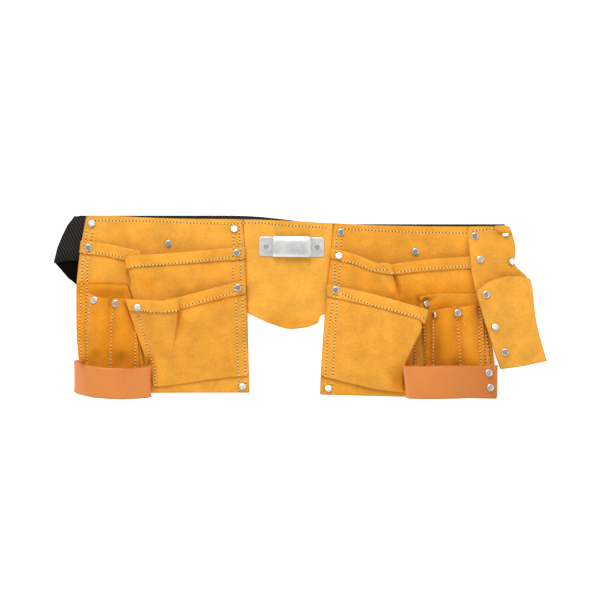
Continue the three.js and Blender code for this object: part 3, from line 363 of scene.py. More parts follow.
def rounded_sheet(name, node, wall, finish, levels=3):
    bm = merged_copy(node)
    crease_cut_edges(bm, wall)
    piece = mesh_object(name, [], [])
    bm.to_mesh(piece.data)
    bm.free()
    rounding = piece.modifiers.new("rounding", "SUBSURF")
    rounding.levels = rounding.render_levels = levels
    take_modifiers(piece)
    piece.data.materials.clear()
    piece.data.materials.append(finish)
    print(name, "faces:", len(piece.data.polygons))
    return piece


SUEDE_WALL = 1.8 * MM
leather = {}
for part in ["back_panel", "back_pocket", "tool_slot_rear", "tool_slots", "nail_pocket"]:
    for side in ["left", "right"]:
        node = f"{side}_{part}"
        leather[node] = rounded_sheet(f"{node}_suede", node, SUEDE_WALL, suede)
for node in ["centre_panel", "holder_backing", "holder_sheath"]:
    leather[node] = rounded_sheet(f"{node}_suede", node, SUEDE_WALL, suede)

# %% [markdown]
# ## Tan hammer loops
# The loops are strips of smooth, vegetable tanned leather. They are thicker than the suede, with a fine pore
# grain and a low gloss, and painted shade darkens the left loop's inner end and the right loop's far end.

# %% Tan leather and the two loops
tan = grained("tan_leather", [(0.635, 0.208, 0.036), (0.49, 0.140, 0.013)], (30.0, 700.0), 0.3, 1.4,
              (0.12, 0.5), 0.1, Roughness=0.5, Specular_IOR_Level=0.4, Coat_Weight=0.08, Coat_Roughness=0.4)
STRAP_WALL = 2.2 * MM
loops = {node: rounded_sheet(f"{node}_strap", node, STRAP_WALL, tan)
         for node in ["left_hammer_loop", "right_hammer_loop"]}

# %% [markdown]
# ## Webbing belt
# The belt is a woven polypropylene strap. Its weave shows as narrow ribs that run across it at a slant, each
# broken by the cross threads. Two wave textures at right angles give the ribs and the threads, and their
# mixture is both the height and the dark of the gaps.

# %% Webbing material and belt
webbing, tree, shader, where = new_material("black_webbing", Roughness=0.72, Specular_IOR_Level=0.14,
                                            Sheen_Weight=0.03, Sheen_Roughness=0.5)
slant = add_node(tree, "ShaderNodeMapping", {"Vector": where, "Rotation": (0, 0, math.radians(-28))})
ribs = add_node(tree, "ShaderNodeTexWave", {"Vector": slant, "Scale": 100.0, "Distortion": 0.8,
                                            "Detail": 1.0, "Detail Scale": 2.0}, bands_direction="X")
threads = add_node(tree, "ShaderNodeTexWave", {"Vector": slant, "Scale": 260.0, "Distortion": 0.3},
                   bands_direction="Y")
weave = add_node(tree, "ShaderNodeMix", {0: 0.35, 2: ribs.outputs["Fac"], 3: threads.outputs["Fac"]})
shade = ramp(tree, weave, (0.3, (0.002, 0.0018, 0.0015)), (1.0, (0.040, 0.033, 0.026)))
tree.links.new(shade, shader.inputs["Base Color"])
add_bump(tree, shader, weave.outputs[0], 0.5 * MM, 0.8)
BELT_WALL = 1.8 * MM
belt = rounded_sheet("waist_belt_webbing", "waist_belt", BELT_WALL, webbing, levels=2)
# Faces lying low, on the stretch turned back under the fold, get a near-black material: painted shade.
painted_shade_webbing = grained("webbing_painted_shade", [(0.005, 0.004, 0.003), (0.002, 0.001, 0.001)], (40.0, 900.0),
                     Roughness=0.95, Specular_IOR_Level=0.03)
belt.data.materials.append(painted_shade_webbing)
PAINTED_SHADE_LEVEL = 2.3 * MM
for face in belt.data.polygons:
    face.material_index = 1 if face.center.z < PAINTED_SHADE_LEVEL else 0

# %% The fold at the left end rolls outwards a little
fold_top, fold_foot = spot(84, 216), spot(54.4, 261.5)
fold_line = (fold_foot - fold_top).xy
outwards = Vector((fold_line.y, -fold_line.x)).normalized()
outwards = outwards if outwards.x < 0 else -outwards
FOLD_BULGE = 2.4 * MM
FOLD_REACH = 22 * MM
FOLD_END = bag_low.x + 12 * MM
for vertex in belt.data.vertices:
    offset = vertex.co.xy - fold_top.xy
    share_along = min(1, max(0, offset.dot(fold_line) / fold_line.length_squared))
    near_fold = max(0, 1 + offset.dot(outwards) / FOLD_REACH)
    if near_fold > 0 and vertex.co.x < FOLD_END:
        vertex.co.xy += outwards * FOLD_BULGE * math.sin(math.pi * share_along) ** 0.8 * min(1, near_fold)

# %% [markdown]
# ## Gentle waves and pressed seams
# A hide is never flat. The same slow wave, read at each point's place over the table, moves every layer up or
# down together, so that no layer passes through its neighbour. Then the top face alone is pressed in along
# each seam. The seams are stated as lines on the picture, and the camera's rays carry them on to the leather.

# %% Slow waves through all the layers
WAVES = [(26.0, 0.55 * MM), (75.0, 0.16 * MM)]
WAVE_SLICE = 3.7
FLOOR = 0.1 * MM


def wave_height(x, y):
    return sum(depth * noise.noise(Vector((x * rate, y * rate, WAVE_SLICE))) for rate, depth in WAVES)


for piece in leather.values():
    for vertex in piece.data.vertices:
        room = FLOOR - vertex.co.z if vertex.co.z > 0 else 0
        vertex.co.z += max(wave_height(vertex.co.x, vertex.co.y), room)
print("highest point:", max(max(vertex.co.z for vertex in piece.data.vertices) for piece in leather.values()))

# %% Seam lines on the picture, each with the pieces it may lie on
LEFT_BAG = ["left_back_panel", "left_back_pocket", "left_tool_slot_rear", "left_tool_slots",
            "left_nail_pocket"]
RIGHT_BAG = [name.replace("left", "right") for name in LEFT_BAG]
seams = []
seams += [(LEFT_BAG, line) for line in [
    [(93.8, 220.4), (150, 221.2), (200, 223.2), (230.9, 224.2), (244.5, 223)],
    [(86.8, 230.6), (82.7, 263.8), (81.4, 289), (80, 315), (79.5, 340), (81.8, 356)],
    [(92.5, 232), (88, 260), (87.2, 284.6), (86.4, 297), (86, 317), (86.4, 340), (87.5, 362.6)],
    [(233.5, 236), (233.1, 276.5), (236, 302), (237.3, 340), (238.6, 378.6), (239, 390)],
    [(239.6, 225.5), (240.5, 271), (242.4, 302), (244.3, 340), (245.6, 378.6), (246, 385)],
    [(94.4, 252.3), (123.8, 257.4)],
    [(129.5, 267), (180, 262.8), (230.9, 257.4)],
    [(112.8, 310.6), (111.4, 330.5), (110.5, 366.5)],
    [(135.8, 329), (135.4, 367)],
    [(90.6, 306), (88.7, 313.7), (87.2, 323)],
    [(141.6, 310.3), (155.7, 312.9), (176, 311)],
    [(180.5, 306.5), (205, 300.4), (230.9, 293.1)],
    [(138.4, 315), (144.8, 338), (150, 356), (155, 370), (155.2, 385)],
]]
seams.append((["centre_panel"], [(247, 222.9), (260.7, 222.9), (287.5, 225.5), (327.7, 227.8)]))
seams.append((RIGHT_BAG, [(343.6, 228.8), (403.8, 231.9), (467.8, 233)]))
seams.append((["holder_backing"], [(471.5, 231.5), (480, 229.8), (490, 229.3), (505, 229)]))
seams += [(RIGHT_BAG, line) for line in [
    [(336.6, 238), (334.7, 276.5), (333.4, 297), (327.7, 340), (325.7, 375), (325.4, 384)],
    [(341.9, 238), (339.8, 271), (337.2, 297), (334.7, 340), (332.4, 379), (332, 390)],
    [(343, 261.2), (360.8, 264.4), (370.4, 270.4), (385.1, 270.2)],
    [(391.4, 273.3), (409.3, 270.2), (434.8, 268.2), (470.5, 265.7)],
    [(341, 293.8), (371, 304.6), (396.5, 311.2), (422, 317.8)],
    [(433.5, 321), (433.3, 364.5)],
    [(457.1, 318.6), (458.9, 342), (460.9, 364.5)],
    [(424, 327.6), (424.6, 366)],
    [(415, 344), (414.4, 364.5)],
    [(478.2, 297), (481.4, 327.6), (486.5, 364.5)],
    [(478.8, 327.6), (480.7, 364.5)],
    [(485.8, 332), (490.9, 364.5)],
]]
eye = camera.location.copy()


def surfaces_now():
    """A search tree for each leather piece as it is shaped now."""
    view = bpy.context.evaluated_depsgraph_get()
    return {name: BVHTree.FromObject(piece, view) for name, piece in leather.items()}


def seen_at(trees, px, py):
    """Where the camera's ray through a pixel meets the nearest of some surfaces, and which way that faces."""
    ray = (spot(px, py) - eye).normalized()
    hits = [hit for hit in (surface.ray_cast(eye, ray) for surface in trees) if hit[0] is not None]
    if not hits:
        return None
    place, facing = min(hits, key=lambda hit: hit[3])[:2]
    return place, facing if facing.z > 0 else -facing


def along(points, step):
    """Points every step along a broken line."""
    found = []
    for (ax, ay), (bx, by) in zip(points, points[1:]):
        count = max(1, round(math.hypot(bx - ax, by - ay) / step))
        found += [(ax + (bx - ax) * k / count, ay + (by - ay) * k / count) for k in range(count)]
    return found + [points[-1]]


# %% Press the seams into the top faces
UPPER_FACING = 0.25
SEAM_STEP = 1.0
SEAM_DEPTH = 0.4 * MM
SEAM_REACH = 1.7 * MM


def press_seams(piece, tree, depth, reach):
    """Lowers the upper face near the seams. The lower face stays, clear of the layer below."""
    facing_up = [vertex.normal.z > UPPER_FACING for vertex in piece.data.vertices]
    for vertex, upper in zip(piece.data.vertices, facing_up):
        distance = tree.find((vertex.co.x, vertex.co.y, 0))[2]
        if upper and distance < 3 * reach:
            vertex.co.z -= depth * math.exp(-(distance / reach) ** 2)


places = []
surfaces = surfaces_now()
for names, points in seams:
    for px, py in along(points, SEAM_STEP):
        found = seen_at([surfaces[name] for name in names], px, py)
        if found is not None:
            places.append(found[0])
seam_tree = KDTree(len(places))
for number, place in enumerate(places):
    seam_tree.insert((place.x, place.y, 0), number)
seam_tree.balance()
for name, piece in leather.items():
    press_seams(piece, seam_tree, SEAM_DEPTH, SEAM_REACH)
print("seam points:", len(places))

# %% [markdown]
# ## Dents, creases, and painted shade on the nap
# The pockets show particular dents, ridges and creases. Each is a line of pixels, or one pixel, with a reach,
# and the leather near it is raised or lowered and fades back to its own level. The same kind of table tells
# where shade is painted into the nap's colour, and where a little light is.

# %% Raising leather near a line of pixels
def to_line(point, marks):
    """Distance in pixels from a place to a broken line, or to its one point."""
    nearest = (point - marks[0]).length
    for start, end in zip(marks, marks[1:]):
        share_along = min(1, max(0, (point - start).dot(end - start) / (end - start).length_squared))
        nearest = min(nearest, (point - start - (end - start) * share_along).length)
    return nearest / PIXEL


def near_line(piece, line, reach, limit=3):
    """The vertices near a line of pixels, each with the weight that fades away from it."""
    marks = [spot(*pixel).xy for pixel in line]
    steps = ((vertex, to_line(vertex.co.xy, marks) / reach) for vertex in piece.data.vertices)
    return [(vertex, math.exp(-away * away)) for vertex, away in steps if away < limit]


def raise_near(rows, limit=3):
    for name, line, reach, rise_by in rows:
        for vertex, weight in near_line(leather[name], line, reach, limit):
            vertex.co.z = max(vertex.co.z + rise_by * MM * weight, FLOOR)


# %% Dents, crumples and ridges
DENTS = [  # piece, pixels, reach in pixels, height in millimetres
    ("left_tool_slots", [(98, 352)], 7, -1.6), ("left_tool_slots", [(121, 355)], 7, -1.8),
    ("left_nail_pocket", [(148, 361)], 4.5, -1.2), ("left_nail_pocket", [(151, 373)], 3.5, -0.8),
    ("right_nail_pocket", [(399, 379)], 9, -2.2), ("right_tool_slots", [(446, 357)], 6, -1.2),
    ("right_tool_slots", [(440, 334)], 5, -1.0), ("left_back_pocket", [(155, 285)], 9, -1.2),
    ("right_back_pocket", [(372, 283)], 8, -1.0),
]
CRUMPLES = [  # piece, pixel, reach in pixels, height and crease spacing in millimetres
    ("right_tool_slot_rear", (427, 304), 11, 2.08, 6.0), ("right_tool_slots", (427, 304), 11, 2.08, 6.0),
    ("left_nail_pocket", (150, 366), 7, 0.8, 4.0), ("right_nail_pocket", (400, 384), 8, 0.8, 5.0),
    ("left_back_pocket", (132, 262), 6, 0.64, 5.0), ("right_back_pocket", (389, 271), 6, 0.8, 5.0),
]
RIDGES = [  # piece, pixels, reach in pixels, height in millimetres
    ("right_back_pocket", [(381, 276), (386, 284), (392, 292)], 4.5, 1.9),
    ("right_back_pocket", [(391, 276), (396, 285), (401, 294)], 2.6, -1.2),
    ("left_nail_pocket", [(144, 350), (150, 366), (152, 380)], 2.0, -0.9),
    ("left_nail_pocket", [(152, 345), (157, 360), (160, 374)], 3.0, 0.8),
    ("right_nail_pocket", [(392, 372), (401, 381), (405, 389)], 3.0, -0.8),
    ("left_back_pocket", [(128, 262), (134, 276), (138, 292)], 3.0, 0.7),
]
DENT_LIMIT, CRUMPLE_LIMIT = 2.5, 2.2
CRUMPLE_START = Vector((5.3, 1.1, 0))
raise_near(DENTS, DENT_LIMIT)
for name, pixel, reach, rise_by, spacing in CRUMPLES:
    for vertex, weight in near_line(leather[name], [pixel], reach, CRUMPLE_LIMIT):
        creases = noise.noise(Vector((vertex.co.x, vertex.co.y, 0)) / (spacing * MM) + CRUMPLE_START)
        vertex.co.z = max(vertex.co.z + rise_by * MM * creases * weight, FLOOR)
raise_near(RIDGES)

# %% Each piece's own tone, with painted shade and painted light at places
PIECE_DEPTH = {
    "centre_panel": 0.0, "left_back_panel": 0.12, "right_back_panel": 0.4, "left_back_pocket": 0.3,
    "right_back_pocket": 0.5, "left_nail_pocket": 0.3, "right_nail_pocket": 0.25, "left_tool_slot_rear": 0.9,
    "right_tool_slot_rear": 0.7, "left_tool_slots": 0.95, "right_tool_slots": 0.95, "holder_backing": 0.22,
    "holder_sheath": 0.08,
}
# Painted shade where the extra depth is positive, at the slots' feet, in crumpled corners, below hems and in
# gaps between pockets; painted light where it is negative.
PAINTED_SHADE_AND_LIGHT = {  # for each piece: pixel, reach across and down in pixels, extra depth
    "left_tool_slots": [((98, 354), (8, 6), 0.55), ((121, 357), (9, 7), 0.75), ((121, 310), (18, 4), -0.25),
                        ((100, 325), (7, 14), -0.15)],
    "right_nail_pocket": [((401, 380), (8, 12), 1.0)],
    "right_back_pocket": [((440, 290), (50, 8), 0.5), ((408, 302), (14, 8), 0.6), ((397, 286), (3, 12), 0.6),
                          ((384, 282), (5, 9), -0.3)],
    "right_tool_slots": [((437, 345), (6, 22), 0.75), ((466, 335), (7, 18), -0.3),
                         ((452, 362), (20, 5), 0.5)],
    "right_tool_slot_rear": [((418, 348), (12, 26), 1.2), ((426, 300), (6, 3), 1.4),
                             ((440, 305), (14, 3), 0.4)],
    "left_back_pocket": [((150, 284), (11, 8), 0.4), ((105, 284), (25, 3), 0.9), ((126, 270), (3, 10), 0.7)],
    "left_back_panel": [((142, 354), (4, 22), 1.5)],
    "left_nail_pocket": [((149, 362), (5, 7), 1.4), ((215, 300), (34, 5), 0.35), ((181, 315), (3, 12), 0.6)],
    "left_tool_slot_rear": [((112, 292), (25, 4), 0.6)],
    "centre_panel": [((287, 322), (36, 6), 0.5)],
    "holder_sheath": [((483, 300), (4, 10), 0.3)],
}


DEPTH_LIMIT = 2.0


# Stores each piece's own tone, with the painted shade and painted light of its listed spots added.
def paint_tone_and_shade(piece, base, spots):
    values = []
    for vertex in piece.data.vertices:
        value = base
        for pixel, (across, down), extra in spots:
            offset = vertex.co - spot(*pixel)
            value += extra * math.exp(-(offset.x / (across * PIXEL)) ** 2 - (offset.y / (down * PIXEL)) ** 2)
        values.append(min(value, DEPTH_LIMIT))
    attribute = piece.data.attributes.new("nap_tone_and_painted_shade", "FLOAT", "POINT")
    attribute.data.foreach_set("value", values)


for name, piece in leather.items():
    paint_tone_and_shade(piece, PIECE_DEPTH[name], PAINTED_SHADE_AND_LIGHT.get(name, []))
# Painted shade on the loops: at the left loop's inner end, towards the right loop's riveted end and along its
# foot.
paint_tone_and_shade(loops["left_hammer_loop"], 0.35, [((84, 362), (3, 6), 1.2)])
paint_tone_and_shade(loops["right_hammer_loop"], 0.1, [((500, 385), (55, 40), 0.95), ((431, 394), (30, 4), 0.25)])

# %% [markdown]
# ## Small corrections against the picture
# Some soft edges lie a few pixels off the picture. They are moved here: a crumpled corner, the ends of hems,
# the belt's folds, the holder's foot and the two straps.

# %% The crumpled corner of the right slots
CORNER = [(419, 299)]
CORNER_REACH = 11
CORNER_NOISE = 3.2 * MM
CORNER_CREASE = 5 * MM
OTHER_NOISE = Vector((7, 3, 1))
for name in ["right_tool_slot_rear", "right_tool_slots"]:
    for vertex, weight in near_line(leather[name], CORNER, CORNER_REACH, CRUMPLE_LIMIT):
        place = Vector((vertex.co.x, vertex.co.y, 0)) / CORNER_CREASE
        vertex.co.x += CORNER_NOISE * weight * noise.noise(place)
        vertex.co.y += CORNER_NOISE * weight * noise.noise(place + OTHER_NOISE)
raise_near([  # the rolled edge, and the slit below it
    ("right_tool_slot_rear", [(417.5, 304), (420, 298.5), (426, 296), (434, 295)], 2.0, 1.9),
    ("right_tool_slot_rear", [(421.5, 303), (426, 299.5), (431, 298.3), (437, 298.5)], 1.5, -1.1),
])

# %% Edges that move sideways
SHIFTS = [  # piece, pixels, reach in pixels, shift in pixels to the right and up
    ("centre_panel", [(322, 316)], 7.0, (1.6, 3.6)),
    ("right_nail_pocket", [(425, 322), (428, 322)], 4.0, (-3.0, -2.5)),
    ("right_back_pocket", [(333, 247), (343, 248.2), (361, 253.2), (371, 258.3), (378, 261.5)], 4.0,
     (0, -2.3)),
    ("left_back_pocket", [(121, 256), (125, 270), (127, 278)], 8.0, (3.4, -1.5)),
    ("waist_belt", [(72, 214), (74, 214)], 4.0, (1.2, -1.4)),
    ("waist_belt", [(53, 259.5), (66, 275)], 6.0, (0.5, -2.4)),
]
for name, line, reach, (to_right, up) in SHIFTS:
    for vertex, weight in near_line({**leather, "waist_belt": belt}[name], line, reach):
        vertex.co.x += to_right * PIXEL * weight
        vertex.co.y += up * PIXEL * weight

# %% The holder's foot and the straps
foot_left, foot_right = spot(500, 367), spot(546, 367)
FOOT_REACH = 14 * MM
FOOT_RISE = 7.5 * MM
for vertex in leather["holder_backing"].data.vertices:
    share_across = min(1, max(0, (vertex.co.x - foot_left.x) / (foot_right.x - foot_left.x)))
    near_foot = max(0, 1 - (vertex.co.y - foot_left.y) / FOOT_REACH)
    vertex.co.y += FOOT_RISE * share_across * near_foot
STRAP_WIDENING = 1.04
STRAP_END_SHIFT = 4.0 * PIXEL
strap_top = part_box("right_hammer_loop")[1][1]
fold_corner = spot(403, 398)
for vertex in loops["right_hammer_loop"].data.vertices:
    vertex.co.y = strap_top - (strap_top - vertex.co.y) * STRAP_WIDENING
    down = min(1, max(0, 1 - (vertex.co.y - fold_corner.y) / (30 * PIXEL)))
    near_end = max(0, 1 - (vertex.co.x - fold_corner.x) / (16 * PIXEL))
    vertex.co.x += STRAP_END_SHIFT * down ** 1.5 * min(1, near_end)
LEFT_LOOP_NARROWING = 0.972
loop_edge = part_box("left_hammer_loop")[0][0]
for vertex in loops["left_hammer_loop"].data.vertices:
    vertex.co.x = loop_edge + (vertex.co.x - loop_edge) * LEFT_LOOP_NARROWING
print("corrected:", len(SHIFTS), "edges")

# %% [markdown]
# ## Stitches
# Each seam is sewn with a running stitch: a short thread goes over the leather, dips into a needle hole and
# comes up again. A Geometry Nodes tree walks the seam at the stitch pitch, turns each thread along the seam
# and square to the leather, and sets a dark disc between two threads, painted shade for the needle hole. The
# seam mesh carries the leather's facing in an attribute.

# %% Helpers for Geometry Nodes
def modifier_tree(name, inputs):
    tree = bpy.data.node_groups.new(name, "GeometryNodeTree")
    tree.interface.new_socket("Geometry", in_out="INPUT", socket_type="NodeSocketGeometry")
    tree.interface.new_socket("Geometry", in_out="OUTPUT", socket_type="NodeSocketGeometry")
    for title, kind in inputs:
        tree.interface.new_socket(title, in_out="INPUT", socket_type=kind)
    return tree, tree.nodes.new("NodeGroupInput").outputs, tree.nodes.new("NodeGroupOutput").inputs


def run_tree(piece, tree, values):
    """Sets the tree's inputs by their identifiers, runs it, and leaves a plain mesh."""
    modifier = piece.modifiers.new(tree.name, "NODES")
    modifier.node_group = tree
    for item in tree.interface.items_tree:
        if item.item_type == "SOCKET" and item.in_out == "INPUT" and item.name in values:
            modifier[item.identifier] = values[item.name]
    take_modifiers(piece)
    print(piece.name, "faces:", len(piece.data.polygons))


def placed(tree, points, instance, rotation):
    """Real copies of a shape, one on each point."""
    links = {"Points": points, "Instance": instance, "Rotation": rotation}
    copies = add_node(tree, "GeometryNodeInstanceOnPoints", links)
    return add_node(tree, "GeometryNodeRealizeInstances", {"Geometry": copies})


def finished(tree, shape, finish):
    return add_node(tree, "GeometryNodeSetMaterial", {"Geometry": shape, "Material": finish})


LENGTH = FLOAT
GRADE = "NodeSocketMaterial"
stitch_tree, given, put_out = modifier_tree("running_stitch", [
    ("Pitch", LENGTH), ("Thread Length", LENGTH), ("Thread Radius", LENGTH), ("Hole Radius", LENGTH),
    ("Wander", LENGTH), ("Seed", "NodeSocketInt"), ("Thread", GRADE), ("Hole", GRADE)])
stitch_node = partial(add_node, stitch_tree)
seam_curve = stitch_node("GeometryNodeMeshToCurve", {"Mesh": given["Geometry"]})
stations = stitch_node("GeometryNodeResampleCurve", {"Curve": seam_curve, "Length": given["Pitch"]},
                       mode="LENGTH")
heading = stitch_node("GeometryNodeInputTangent")
facing = stitch_node("GeometryNodeInputNamedAttribute", {"Name": "facing"}, data_type="FLOAT_VECTOR")
ahead = stitch_node("FunctionNodeAlignRotationToVector", {"Vector": heading}, axis="X")
upright = stitch_node("FunctionNodeAlignRotationToVector", {"Rotation": ahead, "Vector": facing}, axis="Z",
                      pivot_axis="X")
turn = stitch_node("FunctionNodeRandomValue", {"Seed": given["Seed"]}, data_type="FLOAT")
stitch_tree.links.new(maths(stitch_tree, "MULTIPLY", given["Wander"], -1.0).outputs[0], turn.inputs[2])
stitch_tree.links.new(given["Wander"], turn.inputs[3])
about = stitch_node("FunctionNodeAxisAngleToRotation", {"Axis": (0, 0, 1), "Angle": turn.outputs[1]})
wandering = stitch_node("FunctionNodeRotateRotation", {"Rotation": upright, "Rotate By": about},
                        rotation_space="LOCAL")

# %% One thread, one hole, and the end of the tree
HOLE_LIFT = 0.12 * MM
half_length = maths(stitch_tree, "MULTIPLY", given["Thread Length"], 0.5)
thread_size = stitch_node("ShaderNodeCombineXYZ",
                          {"X": half_length, "Y": given["Thread Radius"], "Z": given["Thread Radius"]})
bead = stitch_node("GeometryNodeMeshUVSphere", {"Segments": 8, "Rings": 6, "Radius": 1.0})
thread = stitch_node("GeometryNodeTransform", {"Geometry": bead, "Scale": thread_size})
half_pitch = maths(stitch_tree, "MULTIPLY", given["Pitch"], 0.5)
hole_place = stitch_node("ShaderNodeCombineXYZ", {"X": half_pitch, "Z": HOLE_LIFT})
disc = stitch_node("GeometryNodeMeshCircle", {"Vertices": 8, "Radius": given["Hole Radius"]},
                   fill_type="NGON")
hole = stitch_node("GeometryNodeTransform", {"Geometry": disc, "Translation": hole_place})
real_holes = placed(stitch_tree, stations, finished(stitch_tree, hole, given["Hole"]), upright)
sewn = finished(stitch_tree, placed(stitch_tree, stations, thread, wandering), given["Thread"])
both = stitch_node("GeometryNodeJoinGeometry")
stitch_tree.links.new(real_holes.outputs[0], both.inputs[0])
stitch_tree.links.new(sewn.outputs[0], both.inputs[0])
stitch_tree.links.new(both.outputs[0], put_out["Geometry"])

# %% Sew the seams
thread_finish, tree, shader, where = new_material("cream_thread", Roughness=0.6, Sheen_Weight=0.2)
twist = add_node(tree, "ShaderNodeTexWave", {"Vector": where, "Scale": 900.0}, bands_direction="DIAGONAL")
cream = mix_tones(tree, twist.outputs["Fac"], (0.68, 0.44, 0.17, 1), (0.90, 0.67, 0.34, 1))
tree.links.new(cream, shader.inputs["Base Color"])
add_bump(tree, shader, twist.outputs["Fac"], 0.1 * MM, 0.6)
# The dark brown disc is painted shade: it stands for the shaded hollow of a needle hole.
hole_shade, tree, shader, where = new_material("needle_hole_shade", Roughness=1.0, Specular_IOR_Level=0.0)
rim = add_node(tree, "ShaderNodeTexNoise", {"Vector": where, "Scale": 600.0})
hole_shade_tone = mix_tones(tree, rim, (0.07, 0.022, 0.002, 1), (0.15, 0.055, 0.006, 1))
tree.links.new(hole_shade_tone, shader.inputs["Base Color"])
LINE_STEP = 0.7


def seam_mesh(name, lines):
    """A mesh of open lines over the leather, with the leather's facing at each point."""
    trees = surfaces_now()
    points, edges, facings = [], [], []
    for names, line in lines:
        last = None
        for px, py in along(line, LINE_STEP):
            found = seen_at([trees[key] for key in names], px, py)
            if found is None:
                last = None
                continue
            points.append(found[0])
            facings.append(found[1])
            if last is not None:
                edges.append((last, len(points) - 1))
            last = len(points) - 1
    piece = mesh_object(name, points, [], edges)
    store_vectors(piece, "facing", facings)
    return piece


stitches = seam_mesh("seam_stitches", seams)
run_tree(stitches, stitch_tree, {"Pitch": 3.7 * MM, "Thread Length": 2.5 * MM, "Thread Radius": 0.6 * MM,
                                 "Hole Radius": 0.72 * MM, "Wander": 0.12, "Seed": 4, "Thread": thread_finish,
                                 "Hole": hole_shade})

# %% [markdown]
# ## Pressed caps
# The rivets end in pressed nickel caps: a flat top with a rounded shoulder. They are turned parts, all alike,
# so a Geometry Nodes tree makes one cap from a sphere whose upper half is flattened, and sets it on a point
# for each rivet of the measured model. Each leans as it does in the picture, some by a few degrees and three
# of them far over, so that some catch the light while others mirror the dark ceiling.

# %% Nickel, and the cap tree
nickel = grained("pressed_nickel", [(0.74, 0.73, 0.71), (0.55, 0.53, 0.5)], (240.0, 1500.0), 0.3, 1.2,
                 (0.03, 0.4), Metallic=1.0, Roughness=0.28)
cap_tree, given, put_out = modifier_tree("pressed_caps", [
    ("Cap Radius", LENGTH), ("Cap Height", LENGTH), ("Flatness", LENGTH), ("Finish", GRADE)])
cap_node = partial(add_node, cap_tree)
ball = cap_node("GeometryNodeMeshUVSphere", {"Segments": 20, "Rings": 14, "Radius": 1.0})
BELOW_RIM = -0.01
where_now = cap_node("GeometryNodeInputPosition")
parts = cap_node("ShaderNodeSeparateXYZ", {0: where_now})
outwards = cap_node("ShaderNodeCombineXYZ", {"X": parts.outputs[0], "Y": parts.outputs[1]})
reach = cap_node("ShaderNodeVectorMath", {0: outwards}, operation="LENGTH")
steep = maths(cap_tree, "POWER", reach.outputs["Value"], given["Flatness"])
crown = maths(cap_tree, "SQRT", maths(cap_tree, "SUBTRACT", 1.0, steep, use_clamp=True))
tall = maths(cap_tree, "MULTIPLY", crown, given["Cap Height"])
upper = maths(cap_tree, "GREATER_THAN", parts.outputs[2], BELOW_RIM)
level = maths(cap_tree, "MULTIPLY", tall, upper)
wide = scaled_by(cap_tree, outwards, given["Cap Radius"])
lifted = cap_node("ShaderNodeCombineXYZ", {"Z": level})
shaped_at = cap_node("ShaderNodeVectorMath", {0: wide, 1: lifted}, operation="ADD")
cap = cap_node("GeometryNodeSetPosition", {"Geometry": ball, "Position": shaped_at})
axis = cap_node("GeometryNodeInputNamedAttribute", {"Name": "axis"}, data_type="FLOAT_VECTOR")
stand = cap_node("FunctionNodeAlignRotationToVector", {"Vector": axis}, axis="Z")
plated = finished(cap_tree, placed(cap_tree, given["Geometry"], cap, stand), given["Finish"])
cap_tree.links.new(plated.outputs[0], put_out["Geometry"])

# %% Set the caps on the measured rivets
LEANS = {  # slopes to the picture's right and up; the other caps stand upright
    "left_rivet_1": (0.02, 0.14), "left_rivet_3": (0.02, 0.32), "left_rivet_4": (0, 0.01),
    "left_rivet_5": (0.05, 0.05), "left_rivet_6": (0.04, 0.2), "left_rivet_8": (-0.2, 0.12),
    "left_rivet_9": (0.02, 0.08), "left_rivet_10": (0.04, 0.16), "right_rivet_1": (0.01, 0.02),
    "right_rivet_3": (-0.02, 0.3), "right_rivet_4": (0.03, 0.3), "right_rivet_5": (0, 0.02),
    "right_rivet_6": (0.9, 0.15), "right_rivet_7": (-1.7, -0.1), "right_rivet_8": (0.02, 0.1),
    "holder_rivet_2": (-0.1, 0.28), "holder_rivet_3": (0.06, 0.14), "holder_rivet_4": (1.3, 0.1),
    "holder_rivet_5": (0.02, 0.06), "holder_rivet_6": (0.03, 0.28), "holder_rivet_7": (-0.12, 0.02),
    "right_loop_rivet_1": (0.02, 0.13), "right_loop_rivet_2": (0.04, 0.13),
}
NUDGES = {  # three caps that lie off their rivets, in pixels to the right and up
    "right_rivet_6": (2.5, 0), "right_rivet_7": (-1.5, -0.5), "holder_rivet_4": (3.2, -1.8),
}
CAP_SINK = 1.35 * MM


def measured_axis(node):
    """Which way a measured cap faces: away from its flat foot."""
    mesh = nodes[node].data
    foot = max(mesh.polygons, key=lambda face: 0 if face.normal.z > 0 else face.area * -face.normal.z)
    return -foot.normal


rivet_names = sorted(name for name in nodes if "rivet" in name)
cap_places, cap_axes = [], []
for name in rivet_names:
    low, high = (Vector(corner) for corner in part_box(name))
    centre = (low + high) / 2 + Vector((*NUDGES.get(name, (0, 0)), 0)) * PIXEL
    centre.z += wave_height(centre.x, centre.y)
    cap_places.append(centre - measured_axis(name) * CAP_SINK)
    cap_axes.append(Vector((*LEANS.get(name, (0, 0)), 1)).normalized())
caps = mesh_object("rivet_caps", cap_places, [])
store_vectors(caps, "axis", cap_axes)
run_tree(caps, cap_tree, {"Cap Radius": 4.15 * MM, "Cap Height": 2.0 * MM, "Flatness": 16.0, "Finish": nickel})

# %% [markdown]
# ## The folded corner of the holder
# The sheath's backing is longer than it needs to be, and its top corner is turned forwards over one rivet.
# A small grid follows the backing and rises over the cap, and Solidify makes it a sheet like its neighbours.

